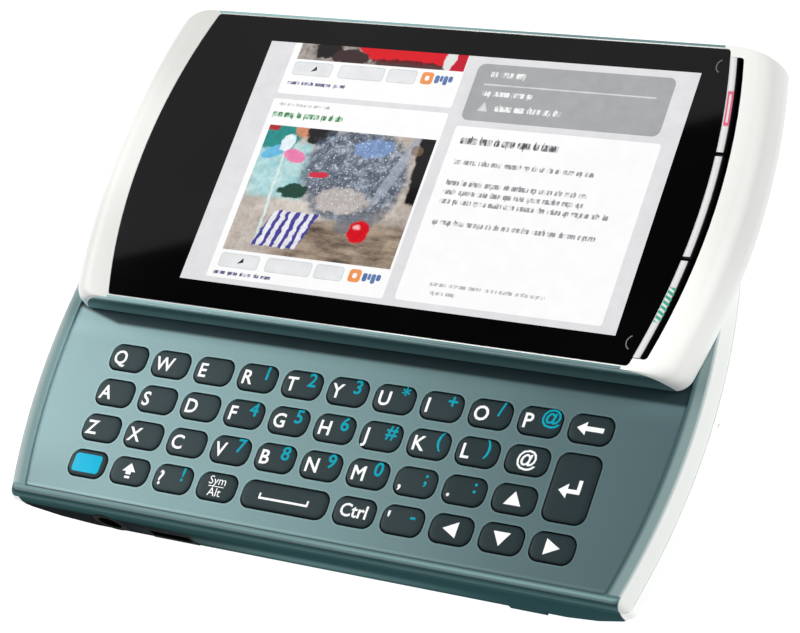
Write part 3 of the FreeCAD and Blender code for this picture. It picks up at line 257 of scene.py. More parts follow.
def deck_paint(name, painted_lift=ONE):
    """Satin deck: pearly teal with a painted reflection that falls off to the right, painted light
    near the display half and a painted shadow under it.
    """
    shader = Shader(name)
    # Painted reflection: the satin is lighter on the left and falls off to the right.
    across = shader.part(shader.x, -52, 52, False)
    colour = shader.ramp(across, [(0.0, tint(148, 182, 185)), (0.5, tint(117, 147, 149)),
                                  (0.8, tint(88, 113, 116)), (1.0, tint(77, 99, 103))])
    cloud = shader.between(shader.noise(0.09, 2.0), 0.96, 1.04)
    grain = shader.noise(16, 4, 0.65)
    speck = shader.between(grain, 0.93 * painted_lift, 1.07 * painted_lift)
    # Painted light that brightens the deck towards the display half.
    bright = shader.between(shader.part(shader.y, -1.0, 2.4), 1.0, 1.28)
    painted = shader.scaled(shader.scaled(colour, shader.math("MULTIPLY", speck, cloud)), bright)
    # Painted shade: darker towards the lower left corner of the deck.
    painted_shade_low_left = shader.both(shader.part(shader.y, -16, -23), shader.part(shader.x, -30, -48))
    painted = shader.mix(shader.math("MULTIPLY", painted_shade_low_left, 0.5), painted, tint(122, 150, 154))
    # Painted highlight along the deck's front edge.
    line = shader.both(shader.part(shader.y, -23.7, -23.85), shader.part(shader.y, -24.15, -24.0))
    painted = shader.mix(shader.math("MULTIPLY", line, 0.7), painted, shader.scaled(painted, 1.35))
    gap = shader.part(shader.y, -24.14, -24.24)
    groove = shader.both(shader.part(shader.end_inset(), 4.3, 4.12), shader.part(shader.x, 0, 10))
    painted = shader.mix(shader.math("MAXIMUM", gap, groove), painted, tint(70, 92, 95))
    # Painted shadow of the display half on the deck, tapering towards the left end; it stays in
    # place when the display half moves.
    corner = shader.math("MULTIPLY", shader.math("ADD", shader.x, 42.5), -0.25)
    corner = shader.math("MAXIMUM", corner, ZERO)
    under = shader.part(shader.math("SUBTRACT", shader.y, corner), 2.2, 2.9)
    shadow = shader.mix(shader.part(shader.x, -40, -8), tint(42, 66, 72), tint(31, 51, 55))
    painted = shader.mix(under, painted, shadow)
    rough = shader.between(shader.noise(0.9, 3), 0.38, 0.46)
    return shader.finish(Base_Color=painted, Roughness=rough, Specular_IOR_Level=0.25,
                         Normal=shader.bump(grain, 0.002))


def key_plastic(name, low, high):
    """Dark key caps: matt skin on the crown, with painted shade that turns the flanks near black.
    """
    shader = Shader(name)
    # Painted shade: the flanks below the crown turn near black.
    crown = shader.part(shader.z, -0.36, -0.06)
    grain = shader.noise(11, 4, 0.6)
    colour = shader.mix(crown, tint(10, 16, 18), shader.ramp(grain, [(0.3, low), (0.7, high)]))
    rough = shader.between(shader.noise(2.0, 3), 0.45, 0.58)
    return shader.finish(Base_Color=colour, Roughness=rough, Specular_IOR_Level=0.12,
                         Normal=shader.bump(grain, 0.004))


def glass_black():
    """Black-printed glass: deep gloss with faint wipe marks in the roughness."""
    shader = Shader("window_glass")
    wipes = shader.noise(0.06, 4, 0.6, (1.0, 5.0, 1.0))
    rough = shader.between(wipes, 0.02, 0.05)
    depth = shader.ramp(shader.noise(0.05, 2), [(0.3, tint(1, 1, 2)), (0.7, tint(3, 3, 4))])
    return shader.finish(Base_Color=depth, Roughness=rough)


def trim_paint():
    """Side trims: painted highlight along the upper edge, painted dark and mid teal bands along the
    long side, painted lighter towards the left and darker at the top right.
    """
    shader = Shader("trim_teal")
    level = shader.part(shader.z, 10.15, 15.0, False)
    # Painted bands by height: mid and dark teal low down, a painted highlight near the upper edge.
    colour = shader.ramp(level, [(0.15, SEA), (0.58, MOSS), (0.7, SLATE), (0.82, FROST),
                                 (0.92, tint(206, 228, 227)), (1.0, FROST)])
    grain = shader.noise(12, 3, 0.6)
    speck = shader.between(grain, 0.94, 1.06)
    # Painted light on the left outside the dark band; painted shade at the top towards the right.
    painted_shade_band = shader.part(shader.apart(shader.z, 12.9), 1.2, 0.5)
    left = shader.both(shader.part(shader.x, 8, -25), shader.math("SUBTRACT", ONE, painted_shade_band))
    painted_lift = shader.between(left, 1.0, 1.3)
    edge = shader.both(shader.part(shader.z, 14.5, 14.7), shader.part(shader.x, 0, 20))
    painted_top_right_shade = shader.between(edge, 1.0, 0.72)
    gain = shader.both(painted_lift, painted_top_right_shade, speck)
    return shader.finish(Base_Color=shader.scaled(colour, gain), Roughness=0.38,
                         Specular_IOR_Level=0.12, Normal=shader.bump(grain, 0.002))


def shell_white():
    """White shell with painted shade and highlight on its rounded ends, by height and along y; the
    floor of the slot round the front keys is painted black.
    """
    shader = Shader("white_shell")
    level = shader.part(shader.z, 10.0, 15.0, False)
    # Painted shade and highlight on the rounded ends, by height.
    right = shader.ramp(level, [(0.0, tint(218, 220, 217)), (0.3, tint(207, 208, 205)),
                                (0.65, tint(209, 209, 206)), (0.95, tint(243, 244, 239))])
    left = shader.ramp(level, [(0.5, tint(210, 227, 227)), (0.7, tint(238, 237, 236)),
                               (1.0, tint(229, 230, 226))])
    drift = shader.between(shader.noise(0.05, 2.0), 0.97, 1.03)
    # Painted light along y: the right end is lighter towards low y, and the left end is darker
    # towards both ends.
    right = shader.scaled(right, shader.between(shader.part(shader.y, 30, 9), 1.0, 1.17))
    below = shader.between(shader.part(shader.y, 14, 27), 0.92, 1.06)
    above = shader.between(shader.part(shader.y, 34, 47), 1.0, 0.82)
    left = shader.scaled(left, shader.math("MULTIPLY", below, above))
    colour = shader.scaled(shader.mix(shader.part(shader.x, -4, 4), left, right), drift)
    offset = shader.strip_offset(SLOT_REACH, SLOT_RADIUS)
    ends = shader.part(shader.apart(shader.y, SLIDE_CENTRE), SLOT_HALF + 0.05, SLOT_HALF - 0.05)
    slot = shader.both(shader.part(offset, 0.06, 0.02), shader.part(shader.z, 14.97, 14.93),
                       shader.part(shader.x, 39.0, 39.2), ends)
    grains = shader.noise(7.0, 3.0, 0.6)
    rough = shader.between(shader.noise(0.3, 2.0), 0.38, 0.42)
    return shader.finish(Base_Color=shader.mix(slot, colour, tint(10, 10, 11)), Roughness=rough,
                         Specular_IOR_Level=0.3, Normal=shader.bump(grains, 0.0006))


def front_key_paint():
    """Front keys: white with dark joints and flank, painted lighter near the inner side and darker
    towards the outer side as shade on their curved tops, a red loop at one end, green strokes.
    """
    shader = Shader("front_key")
    offset = shader.strip_offset(STRIP_MIDDLE, STRIP_RADIUS)
    aside = shader.math("ABSOLUTE", offset)
    across = shader.part(offset, -0.7, 0.7, False)
    # Painted shade across the key tops: lightest near the inner side, darker towards the outer
    # side, dark at both edges.
    colour = shader.ramp(across, [(0.0, tint(60, 62, 62)), (0.1, tint(206, 209, 207)),
                                  (0.3, tint(236, 236, 235)), (0.76, tint(210, 208, 208)),
                                  (0.83, tint(14, 14, 15))])
    for joint in (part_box("menu_key")[0].y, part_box("menu_key")[1].y):
        beside = shader.apart(shader.y, joint / MM)
        colour = shader.mix(shader.part(beside, 0.36, 0.28), colour, tint(12, 12, 13))
    grain = shader.noise(3.0, 3.0)
    core = shader.both(shader.part(aside, 0.2, 0.12), shader.part(shader.y, 41.4, 41.7),
                       shader.part(shader.y, 46.0, 45.7))
    loop = shader.both(shader.part(aside, 0.46, 0.38), shader.math("SUBTRACT", ONE, core),
                       shader.part(shader.y, 40.9, 41.2), shader.part(shader.y, 46.5, 46.2))
    colour = shader.mix(loop, colour, tint(226, 96, 130))
    slant = shader.math("ADD", shader.y, shader.math("MULTIPLY", offset, 0.5))
    wave = shader.part(shader.math("SINE", shader.math("MULTIPLY", slant, 8.4)), -0.5, 0.2)
    strokes = shader.both(wave, shader.part(aside, 0.56, 0.48), shader.part(shader.y, 11.4, 11.7),
                          shader.part(shader.y, 16.9, 16.6))
    colour = shader.mix(strokes, colour, tint(64, 168, 134))
    return shader.finish(Base_Color=colour, Roughness=0.35, Specular_IOR_Level=0.3,
                         Normal=shader.bump(grain, 0.001))


def cover_white():
    """White back cover with dark loudspeaker slots painted into its rest face."""
    shader = Shader("white_cover")
    colour = shader.ramp(shader.noise(0.06, 2.0), [(0.3, tint(238, 240, 238)),
                                                   (0.7, tint(246, 247, 245))])
    row = shader.apart(shader.math("FRACT", shader.math("MULTIPLY", shader.y, 0.5)), 0.5)
    grille = shader.away(-40.5, 0.0, wide=4.4, deep=5.2)
    slots = shader.both(shader.part(row, 0.16, 0.12), shader.part(grille, 1.02, 0.98),
                        shader.part(shader.z, 1.4, 1.2))
    grains = shader.noise(9.0, 4.0, 0.6)
    rough = shader.between(shader.noise(0.8, 3.0), 0.33, 0.4)
    return shader.finish(Base_Color=shader.mix(slots, colour, tint(20, 22, 23)), Roughness=rough,
                         Coat_Weight=0.1, Coat_Roughness=0.2, Normal=shader.bump(grains, 0.003))


def brushed_steel():
    shader = Shader("brushed_steel")
    lines = shader.noise(3.0, 5, 0.7, (0.06, 6.0, 1.0))
    colour = shader.ramp(lines, [(0.25, tint(120, 122, 124)), (0.75, tint(176, 178, 180))])
    rough = shader.between(lines, 0.25, 0.45)
    return shader.finish(Base_Color=colour, Roughness=rough, Metallic=1.0,
                         Normal=shader.bump(lines, 0.004))


def lit_surface(shader, colour):
    """A lit part of the screen page, under the gloss of the window."""
    return shader.finish(Base_Color=tint(8, 8, 9), Emission_Color=colour, Emission_Strength=1.0,
                         Roughness=0.04)


def screen_finish(name, colour, other):
    shader = Shader(name)
    return lit_surface(shader, shader.ramp(shader.noise(0.5), [(0.3, colour), (0.7, other)]))


def word_finish(name, ink, paper):
    """Meaningless strokes that stand for small print."""
    shader = Shader(name)
    strokes = shader.noise(2.9, 1.0, 0.4, (1.0, 0.34, 1.0))
    return lit_surface(shader, shader.ramp(strokes, [(0.42, ink), (0.62, paper)]))


WHITE_SHELL = shell_white()
WHITE_COVER = cover_white()
TRIM_TEAL = trim_paint()
GUIDE_PLASTIC = moulded("guide_plastic", tint(42, 44, 46), tint(54, 56, 58), 0.5)
MAT_SILICONE = moulded("mat_silicone", tint(60, 64, 66), tint(74, 78, 80), 0.65)
BATTERY_WRAP = moulded("battery_wrap", tint(60, 66, 74), tint(80, 86, 94), 0.4, 0.1)
PART_BLACK = moulded("part_black", tint(8, 9, 10), tint(14, 15, 16), 0.6, ZERO, 0.02)
FRONT_KEY = front_key_paint()
SIDE_KEY = moulded("side_key", tint(196, 204, 206), tint(214, 220, 222), 0.3, 0.3)
STEEL = brushed_steel()
FRAME = frame_paint()
DECK = deck_paint("deck_satin")
# Deck paint made lighter for the lips round the key holes: a painted highlight.
DECK_LIP_HIGHLIGHT = deck_paint("deck_lip_highlight", 1.16)
# Lit and shaded copies of the key plastic: painted light that falls off from left to right, one
# copy for each zone of keys.
KEY_PAINTED_FALLOFF = [key_plastic("key_charcoal_falloff_%d" % step,
                          tint(48 - 7 * step, 62 - 7 * step, 65 - 7 * step),
                          tint(56 - 7 * step, 70 - 7 * step, 73 - 7 * step)) for step in range(3)]
GLASS = glass_black()
INK_WHITE = moulded("ink_white", tint(252, 253, 253), tint(255, 255, 255), 0.4)
INK_BLUE = moulded("ink_blue", tint(0, 158, 180), tint(10, 172, 194), 0.4, ZERO, 0.1)
CYAN = moulded("cyan_label", tint(0, 178, 216), tint(4, 190, 226), 0.35, ZERO, 0.1)

NODE_FINISH = {"mid_frame": FRAME, "battery_cover": WHITE_COVER, "keyboard_deck": DECK,
               "key_mat": MAT_SILICONE, "slide_guides": GUIDE_PLASTIC, "battery": BATTERY_WRAP,
               "main_board": PART_BLACK, "side_trims": TRIM_TEAL, "slider_shell": WHITE_SHELL,
               "display_window": GLASS, "display_module": STEEL, "rail_plate": STEEL,
               "call_key": FRONT_KEY, "menu_key": FRONT_KEY, "end_key": FRONT_KEY,
               "volume_key": SIDE_KEY, "camera_key": SIDE_KEY, "power_key": WHITE_COVER}


def dress(node, finish):
    """Gives a CAD node its finish and soft shading between its sharp edges."""
    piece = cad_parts[node]
    piece.data.materials.clear()
    piece.data.materials.append(finish)
    for polygon in piece.data.polygons:
        polygon.use_smooth = True
        polygon.material_index = 0
    piece.modifiers.new("weld", "WELD").merge_threshold = WELD_REACH
    split = piece.modifiers.new("edges", "EDGE_SPLIT")
    split.split_angle = math.radians(SHARP_EDGE)


for node, finish in NODE_FINISH.items():
    dress(node, finish)


# ---------------------------------------------------------------- mesh helpers
CUTS, CUT_STEP = 12, 0.45


class Plate:
    """Collects thin raised shapes, each with its finish, into one mesh."""

    def __init__(self):
        self.mesh = bmesh.new()
        self.finishes = []

    def slot(self, finish):
        if finish not in self.finishes:
            self.finishes.append(finish)
        return self.finishes.index(finish)

    def prism(self, points, low, high, finish):
        """Closed prism over a convex or plain outline, in millimetres."""
        index = self.slot(finish)
        foot = [self.mesh.verts.new((x * MM, y * MM, low * MM)) for x, y in points]
        head = [self.mesh.verts.new((x * MM, y * MM, high * MM)) for x, y in points]
        faces = [self.mesh.faces.new(head), self.mesh.faces.new(foot[::-1])]
        for i in range(len(points)):
            j = (i + 1) % len(points)
            faces.append(self.mesh.faces.new((foot[i], foot[j], head[j], head[i])))
        for face in faces:
            face.material_index = index

    def ring(self, outer, inner, low, high, finish):
        """Raised band between two outlines with as many points."""
        index = self.slot(finish)
        rows = [[self.mesh.verts.new((x * MM, y * MM, z * MM)) for x, y in line]
                for line, z in ((outer, low), (outer, high), (inner, high), (inner, low))]
        for first, second in zip(rows, rows[1:] + rows[:1]):
            for i in range(len(outer)):
                j = (i + 1) % len(outer)
                face = self.mesh.faces.new((first[i], first[j], second[j], second[i]))
                face.material_index = index

    def pad(self, outline, low, high, finish):
        """Printed patch with inner rings, so that it can follow a crown."""
        index = self.slot(finish)
        stages = ((1.0, low), (1.0, high), (0.8, high), (0.6, high), (0.4, high), (0.2, high))
        rows = [[self.mesh.verts.new((x * k * MM, y * k * MM, z * MM)) for x, y in outline]
                for k, z in stages]
        faces = [self.mesh.faces.new(rows[-1])]
        for outer, inner in zip(rows, rows[1:]):
            for i in range(len(outer)):
                j = (i + 1) % len(outer)
                faces.append(self.mesh.faces.new((outer[i], outer[j], inner[j], inner[i])))
        for face in faces:
            face.material_index = index

    def words(self, text, size, at, low, thick, finish, weight=ZERO, align="CENTER"):
        """Printed characters, placed by their middle or their left end."""
        curve = bpy.data.curves.new("words", "FONT")
        curve.body, curve.size = text, size * MM
        curve.align_x, curve.align_y = align, "CENTER"
        curve.extrude, curve.bevel_depth, curve.bevel_resolution = thick / 2 * MM, weight * MM, 0
        curve.resolution_u = 3
        holder = bpy.data.objects.new("words", curve)
        bpy.context.scene.collection.objects.link(holder)
        bpy.context.view_layer.update()
        graph = bpy.context.evaluated_depsgraph_get()
        made = bpy.data.meshes.new_from_object(holder.evaluated_get(graph))
        middle = (low + thick / 2) * MM
        flat = Matrix.Diagonal((1, 1, thick / (thick + 2 * weight), 1))
        made.transform(Matrix.Translation((at[0] * MM, at[1] * MM, middle)) @ flat)
        index = self.slot(finish)
        before = len(self.mesh.faces)
        self.mesh.from_mesh(made)
        self.mesh.faces.ensure_lookup_table()
        for face in self.mesh.faces[before:]:
            face.material_index = index
        bpy.data.objects.remove(holder)
        bpy.data.curves.remove(curve)
        bpy.data.meshes.remove(made)

    def piece(self, name, body, at=(0, 0, 0), bend=None):
        """Makes an object that rides on a body; bend lays its points on a crowned face."""
        if bend:
            for step in range(-CUTS, CUTS + 1):
                for way in ((1, 0, 0), (0, 1, 0)):
                    parts = self.mesh.verts[:] + self.mesh.edges[:] + self.mesh.faces[:]
                    bmesh.ops.bisect_plane(self.mesh, geom=parts, dist=1e-7, plane_no=way,
                                           plane_co=[CUT_STEP * MM * step * side for side in way])
            for vertex in self.mesh.verts:
                vertex.co.z += bend(vertex.co.x / MM, vertex.co.y / MM) * MM
        bmesh.ops.recalc_face_normals(self.mesh, faces=self.mesh.faces)
        data = bpy.data.meshes.new(name)
        self.mesh.to_mesh(data)
        self.mesh.free()
        for finish in self.finishes:
            data.materials.append(finish)
        made = bpy.data.objects.new(name, data)
        made.location = Vector(at) * MM
        bpy.context.scene.collection.objects.link(made)
        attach(made, body)
        return made


def round_outline(half_x, half_y, radius, steps=5, centre=(0, 0)):
    """Outline of a rounded rectangle, anticlockwise."""
    radius = min(radius, half_x, half_y)
    points = []
    for turn, (sx, sy) in enumerate(((1, 1), (-1, 1), (-1, -1), (1, -1))):
        for step in range(steps + 1):
            angle = (turn + step / steps) * math.pi / 2
            points.append((centre[0] + sx * (half_x - radius) + radius * math.cos(angle),
                           centre[1] + sy * (half_y - radius) + radius * math.sin(angle)))
    return points


# ---------------------------------------------------------------- keyboard
KEY_CORNER, FLANGE = 1.45, 0.45
CROWN, CROWN_POWER = 0.2, 2.4
KEYS_LEFT, SHADE_ZONE = -48, 32
LIP_OUTER, LIP_INNER, LIP_ROUND = 0.42, 0.16, 0.02
RINGS = ((0.0, -1.2), (0.0, -0.30), (0.05, -0.17), (0.15, -0.07), (0.3, -0.02), (0.55, 0.0),
         (1.0, 0.0), (1.5, 0.0))
DECK_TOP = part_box("keyboard_deck")[1].z / MM


def crown(x, y, half_x, half_y):
    """Height of a domed key top below its highest point."""
    return -CROWN / 2 * (abs(x / half_x) ** CROWN_POWER + abs(y / half_y) ** CROWN_POWER)


def key_cap(node):
    """Domed cap with rolled edges that stands for a CAD key."""
    low, high = (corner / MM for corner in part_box(node))
    half_x, half_y = (high.x - low.x) / 2 - FLANGE, (high.y - low.y) / 2 - FLANGE
    centre = ((high.x + low.x) / 2, (high.y + low.y) / 2, high.z)
    mesh = bmesh.new()
    rows = []
    for inset, drop in RINGS:
        outline = round_outline(half_x - inset, half_y - inset, max(KEY_CORNER - inset * 0.8, 0.3))
        rows.append([mesh.verts.new((x * MM, y * MM, (drop + crown(x, y, half_x, half_y)) * MM))
                     for x, y in outline])
    for inner, outer in zip(rows[1:], rows):
        for i in range(len(outer)):
            j = (i + 1) % len(outer)
            mesh.faces.new((outer[i], outer[j], inner[j], inner[i]))
    mesh.faces.new(rows[-1])
    mesh.faces.new(rows[0][::-1])
    data = bpy.data.meshes.new(node + "_cap")
    mesh.to_mesh(data)
    mesh.free()
    data.materials.append(KEY_PAINTED_FALLOFF[min(int((centre[0] - KEYS_LEFT) / SHADE_ZONE), 2)])
    for polygon in data.polygons:
        polygon.use_smooth = True
    cap = bpy.data.objects.new(node + "_cap", data)
    cap.location = Vector(centre) * MM
    bpy.context.scene.collection.objects.link(cap)
    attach(cap, node)
    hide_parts(node)
    return centre, half_x, half_y


MAIN, SECOND = (-2.5, -0.2), (1.6, 0.75)
LETTERS = {"key_q": ("Q", ""), "key_w": ("W", ""), "key_e": ("E", ""), "key_r": ("R", "1"),
           "key_t": ("T", "2"), "key_y": ("Y", "3"), "key_u": ("U", "*"), "key_i": ("I", "+"),
           "key_o": ("O", "/"), "key_p": ("P", "@"), "key_a": ("A", ""), "key_s": ("S", ""),
           "key_d": ("D", ""), "key_f": ("F", "4"), "key_g": ("G", "5"), "key_h": ("H", "6"),
           "key_j": ("J", "#"), "key_k": ("K", "("), "key_l": ("L", ")"), "key_z": ("Z", ""),
           "key_x": ("X", ""), "key_c": ("C", ""), "key_v": ("V", "7"), "key_b": ("B", "8"),
           "key_n": ("N", "9"), "key_m": ("M", "0"), "key_comma": (",", ";"),
           "key_period": (".", ":"), "key_question": ("?", "!"), "key_quote": ("'", "-")}
PRINT_LOW, PRINT_THICK = 0.004, 0.012
PRINT_HIGH = PRINT_LOW + PRINT_THICK
SIGNS = {"key_backspace": ([(-2.0, 0), (-0.6, 0.95), (-0.6, -0.95)],
                           [(-0.6, -0.34), (2.0, -0.34), (2.0, 0.34), (-0.6, 0.34)]),
         "key_enter": ([(-1.75, -0.5), (-0.4, 0.55), (-0.4, -1.55)],
                       [(-0.4, -0.8), (1.45, -0.8), (1.45, -0.2), (-0.4, -0.2)],
                       [(0.9, -0.2), (1.45, -0.2), (1.45, 1.2), (0.9, 1.2)]),
         "key_shift": ([(-1.15, -0.1), (1.15, -0.1), (0, 1.2)],
                       [(-0.45, -0.55), (0.45, -0.55), (0.45, -0.1), (-0.45, -0.1)],
                       [(-0.45, -1.15), (0.45, -1.15), (0.45, -0.8), (-0.45, -0.8)]),
         "key_space": ([(-4.1, -0.6), (4.1, -0.6), (4.1, -0.28), (-4.1, -0.28)],
                       [(-4.1, -0.28), (-3.8, -0.28), (-3.8, 0.3), (-4.1, 0.3)],
                       [(3.8, -0.28), (4.1, -0.28), (4.1, 0.3), (3.8, 0.3)]),
         "key_up": ([(-1.3, -0.9), (1.3, -0.9), (0, 1.1)],),
         "key_down": ([(-1.3, 0.9), (0, -1.1), (1.3, 0.9)],),
         "key_left": ([(-1.2, 0), (1.0, -1.15), (1.0, 1.15)],),
         "key_right": ([(1.2, 0), (-1.0, 1.15), (-1.0, -1.15)],)}


def legend(node, half_x, half_y, centre):
    """Printed symbols of one key, laid over its crown."""
    plate = Plate()
    layer = (PRINT_LOW, PRINT_THICK, INK_WHITE)
    if node in LETTERS:
        first, second = LETTERS[node]
        plate.words(first, 3.0, MAIN, *layer, 0.06, "LEFT")
        if second:
            plate.words(second, 2.9, SECOND, PRINT_LOW, PRINT_THICK, INK_BLUE, 0.05)
    elif node == "key_at_sign":
        plate.words("@", 3.1, (0, 0.1), *layer, 0.04)
    elif node == "key_control":
        plate.words("Ctrl", 2.7, (0, 0), *layer, 0.05)
    elif node == "key_symbol":
        plate.words("Sym", 1.8, (0, 0.85), *layer)
        plate.words("Alt", 1.8, (0, -0.9), *layer)
        plate.prism([(-1.3, -0.06), (1.3, -0.06), (1.3, 0.06), (-1.3, 0.06)], PRINT_LOW, PRINT_HIGH,
                    INK_WHITE)
    elif node == "key_function":
        plate.pad(round_outline(half_x - 0.8, half_y - 0.62, 0.5), PRINT_LOW, PRINT_HIGH, CYAN)
    else:
        for points in SIGNS[node]:
            plate.prism(points, PRINT_LOW, PRINT_HIGH, INK_WHITE)
    plate.piece(node + "_legend", node, centre, lambda x, y: crown(x, y, half_x, half_y))


lips = Plate()
for node in sorted(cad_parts):
    if node.startswith("key_") and node != "key_mat":
        place, wide, deep = key_cap(node)
        legend(node, wide, deep, place)
        outlines = [round_outline(wide + reach, deep + reach, KEY_CORNER + LIP_ROUND + reach,
                                  centre=place) for reach in (LIP_OUTER, LIP_INNER)]
        # The lips take the lighter deck paint as a painted highlight round each key hole.
        lips.ring(*outlines, DECK_TOP - 0.04, DECK_TOP + 0.02, DECK_LIP_HIGHLIGHT)
lips.piece("key_hole_lips", "base")


# ---------------------------------------------------------------- screen page
PAGE_LEFT, PAGE_TOP = -30.8, SLIDE_CENTRE + 19.925
PAGE_WIDE, PAGE_DEEP = 70.8, 39.85
LAYER = 0.014


class Canvas(Shader):
    """A lit picture, painted in millimetres from the upper left corner of the page."""

    def __init__(self, name, grounds, scale):
        super().__init__(name)
        noise = self.add("ShaderNodeTexNoise", {"Vector": self.place, "Scale": 0.9, "Detail": 3.0})
        wobble = self.add("ShaderNodeSeparateColor", {0: noise.outputs[1]}).outputs
        self.u = self.math("SUBTRACT", self.math("ADD", self.x, wobble[0]), PAGE_LEFT + 0.5)
        self.v = self.math("SUBTRACT", PAGE_TOP + 0.5, self.math("ADD", self.y, wobble[1]))
        self.colour = self.ramp(self.noise(scale, 4, 0.6), grounds)

    def leaned(self, middle, lean):
        return self.math("ADD", self.u, self.math("MULTIPLY", self.math("SUBTRACT", self.v, middle),
                                                  lean))

    def lay(self, mask, colour, strength=ONE):
        self.colour = self.mix(self.math("MULTIPLY", mask, strength), self.colour, colour)

    def oval(self, u, v, wide, deep, lean=ZERO, ragged=ZERO, soft=0.12):
        """1 inside a slanted oval, whose edge may be ragged."""
        reach = self.away(u, v, self.leaned(v, lean), self.v, wide, deep)
        if ragged:
            uneven = self.math("SUBTRACT", self.noise(0.8, 3), 0.5)
            reach = self.math("ADD", reach, self.math("MULTIPLY", uneven, ragged))
        return self.part(reach, 1 + soft, 1 - soft)

    def block(self, left, right, top, bottom, lean=ZERO, soft=0.15):
        """1 inside a box with leaning sides."""
        along = self.leaned(top, lean)
        return self.both(self.part(along, left, left + soft), self.part(along, right, right - soft),
                         self.part(self.v, top - soft, top),
                         self.part(self.v, bottom, bottom - soft))


def shore_picture():
    """A striped wind cloth, a red float, a pale pole with coloured vanes and a wet rock."""
    scene = Canvas("picture_shore", shades((0.3, 176, 164, 154), (0.7, 206, 198, 190)), 0.5)
    low = scene.both(scene.part(scene.v, 26.2, 29.5), scene.part(scene.u, 11, 17))
    soil = scene.ramp(scene.noise(0.45, 4, 0.6, (0.5, 1.6, 1.0)),
                      shades((0.3, 80, 66, 56), (0.62, 172, 154, 136)))
    scene.lay(low, soil)
    scene.lay(scene.oval(19.5, 25.9, 8, 2.4, ragged=0.8), tint(214, 206, 196), 0.85)
    aqua = scene.ramp(scene.noise(0.5, 3), shades((0.3, 146, 200, 204), (0.7, 192, 222, 222)))
    scene.lay(scene.block(4, 15.0, 17.2, 26.2, lean=-0.12, soft=1.4), aqua)
    scene.lay(scene.block(4, 13.2, 13, 18.0, lean=0.5, soft=0.6), tint(36, 140, 136))
    scene.lay(scene.block(5, 8.0, 13, 15.0, lean=0.4, soft=0.3), tint(178, 40, 48))
    scene.lay(scene.block(9.2, 12.4, 13, 15.6, lean=-0.6, soft=0.4), tint(208, 142, 106))
    scene.lay(scene.oval(15.0, 14.6, 2.6, 2.2, ragged=0.9), tint(26, 24, 26))
    slate = scene.ramp(scene.noise(0.9, 5, 0.7),
                       shades((0.32, 40, 50, 66), (0.5, 96, 108, 126), (0.68, 176, 186, 200)))
    scene.lay(scene.oval(22.6, 20.6, 8.8, 7.8, lean=-0.1, ragged=0.35), slate, 0.94)
    scene.lay(scene.oval(26.0, 27.4, 3.4, 2.6, lean=0.5, ragged=0.8), tint(112, 114, 122), 0.7)
    scene.lay(scene.oval(22.0, 25.0, 4.6, 2.0, ragged=0.9), tint(206, 196, 188), 0.7)
    scene.lay(scene.oval(24.4, 16.2, 3.2, 1.6, lean=0.4, ragged=0.8), tint(124, 156, 208), 0.75)
    drops = scene.part(scene.noise(2.6, 2, 0.6), 0.6, 0.68)
    scene.lay(scene.math("MULTIPLY", drops, scene.oval(22.8, 20.2, 8.4, 7.2, ragged=0.5)),
              tint(220, 226, 236), 0.85)
    scene.lay(scene.oval(29.2, 19.5, 0.9, 6.4, lean=0.35, ragged=0.5), tint(164, 172, 186), 0.7)
    scene.lay(scene.block(9.2, 9.8, 17.0, 32.4, lean=-0.05, soft=0.15), tint(212, 232, 230))
    scene.lay(scene.oval(7.8, 18.2, 1.7, 1.2, lean=0.9, ragged=0.3), tint(104, 184, 222))
    scene.lay(scene.oval(11.4, 18.6, 1.9, 1.1, lean=-0.6, ragged=0.3), tint(232, 126, 172))
    scene.lay(scene.oval(9.6, 16.6, 1.2, 1.5, lean=0.2, ragged=0.3), tint(228, 240, 246))
    scene.lay(scene.oval(13.4, 24.2, 2.4, 1.2, ragged=0.8), tint(22, 66, 50))
    scene.lay(scene.oval(26.6, 29.4, 1.8, 1.8, ragged=0.2), tint(214, 20, 34))
    scene.lay(scene.oval(26.1, 28.8, 0.5, 0.4, soft=0.6), tint(250, 190, 190))
    scene.lay(scene.oval(16.8, 21.2, 1.6, 0.5, lean=0.8, ragged=0.4), tint(214, 40, 66))
    scene.lay(scene.block(31.0, 36, 13, 24.6, lean=-0.1, soft=0.5), tint(18, 15, 15))
    scene.lay(scene.oval(31.4, 16.0, 1.1, 0.8, ragged=0.8), tint(120, 96, 70), 0.7)
    stripes = scene.math("SINE", scene.math("MULTIPLY", scene.leaned(30, 0.2), 4.2))
    cloth = scene.mix(scene.part(stripes, -0.1, 0.4), tint(232, 232, 238), tint(74, 70, 150))
    scene.lay(scene.block(11.6, 19.4, 27.6, 33.4, lean=0.35, soft=0.25), cloth)
    shade = scene.between(scene.noise(1.3, 4, 0.65), 0.6, 1.4)
    return lit_surface(scene, scene.scaled(scene.colour, shade))


def rock_picture():
    """Strip of a picture: grey pebbles, a dark stone and a red hull."""
    scene = Canvas("picture_rocks", shades((0.3, 112, 102, 96), (0.7, 184, 176, 168)), 1.1)
    scene.lay(scene.oval(10.6, 0.8, 2.4, 1.5, ragged=0.8), tint(26, 22, 22))
    scene.lay(scene.oval(14.8, 1.7, 3.4, 1.3, ragged=0.8), tint(60, 40, 40))
    scene.lay(scene.block(13.6, 31.2, -1, 2.3, lean=-1.6, soft=0.4), tint(218, 14, 30))
    scene.lay(scene.oval(24.5, 2.3, 6.5, 0.7, ragged=1.2), tint(70, 20, 26), 0.9)
    scene.lay(scene.oval(31.7, 1.2, 1.1, 1.8, ragged=0.3), tint(226, 228, 226))
    scene.lay(scene.block(32.8, 36, -1, 4, lean=0.3, soft=0.2), tint(196, 14, 42))
    return lit_surface(scene, scene.colour)


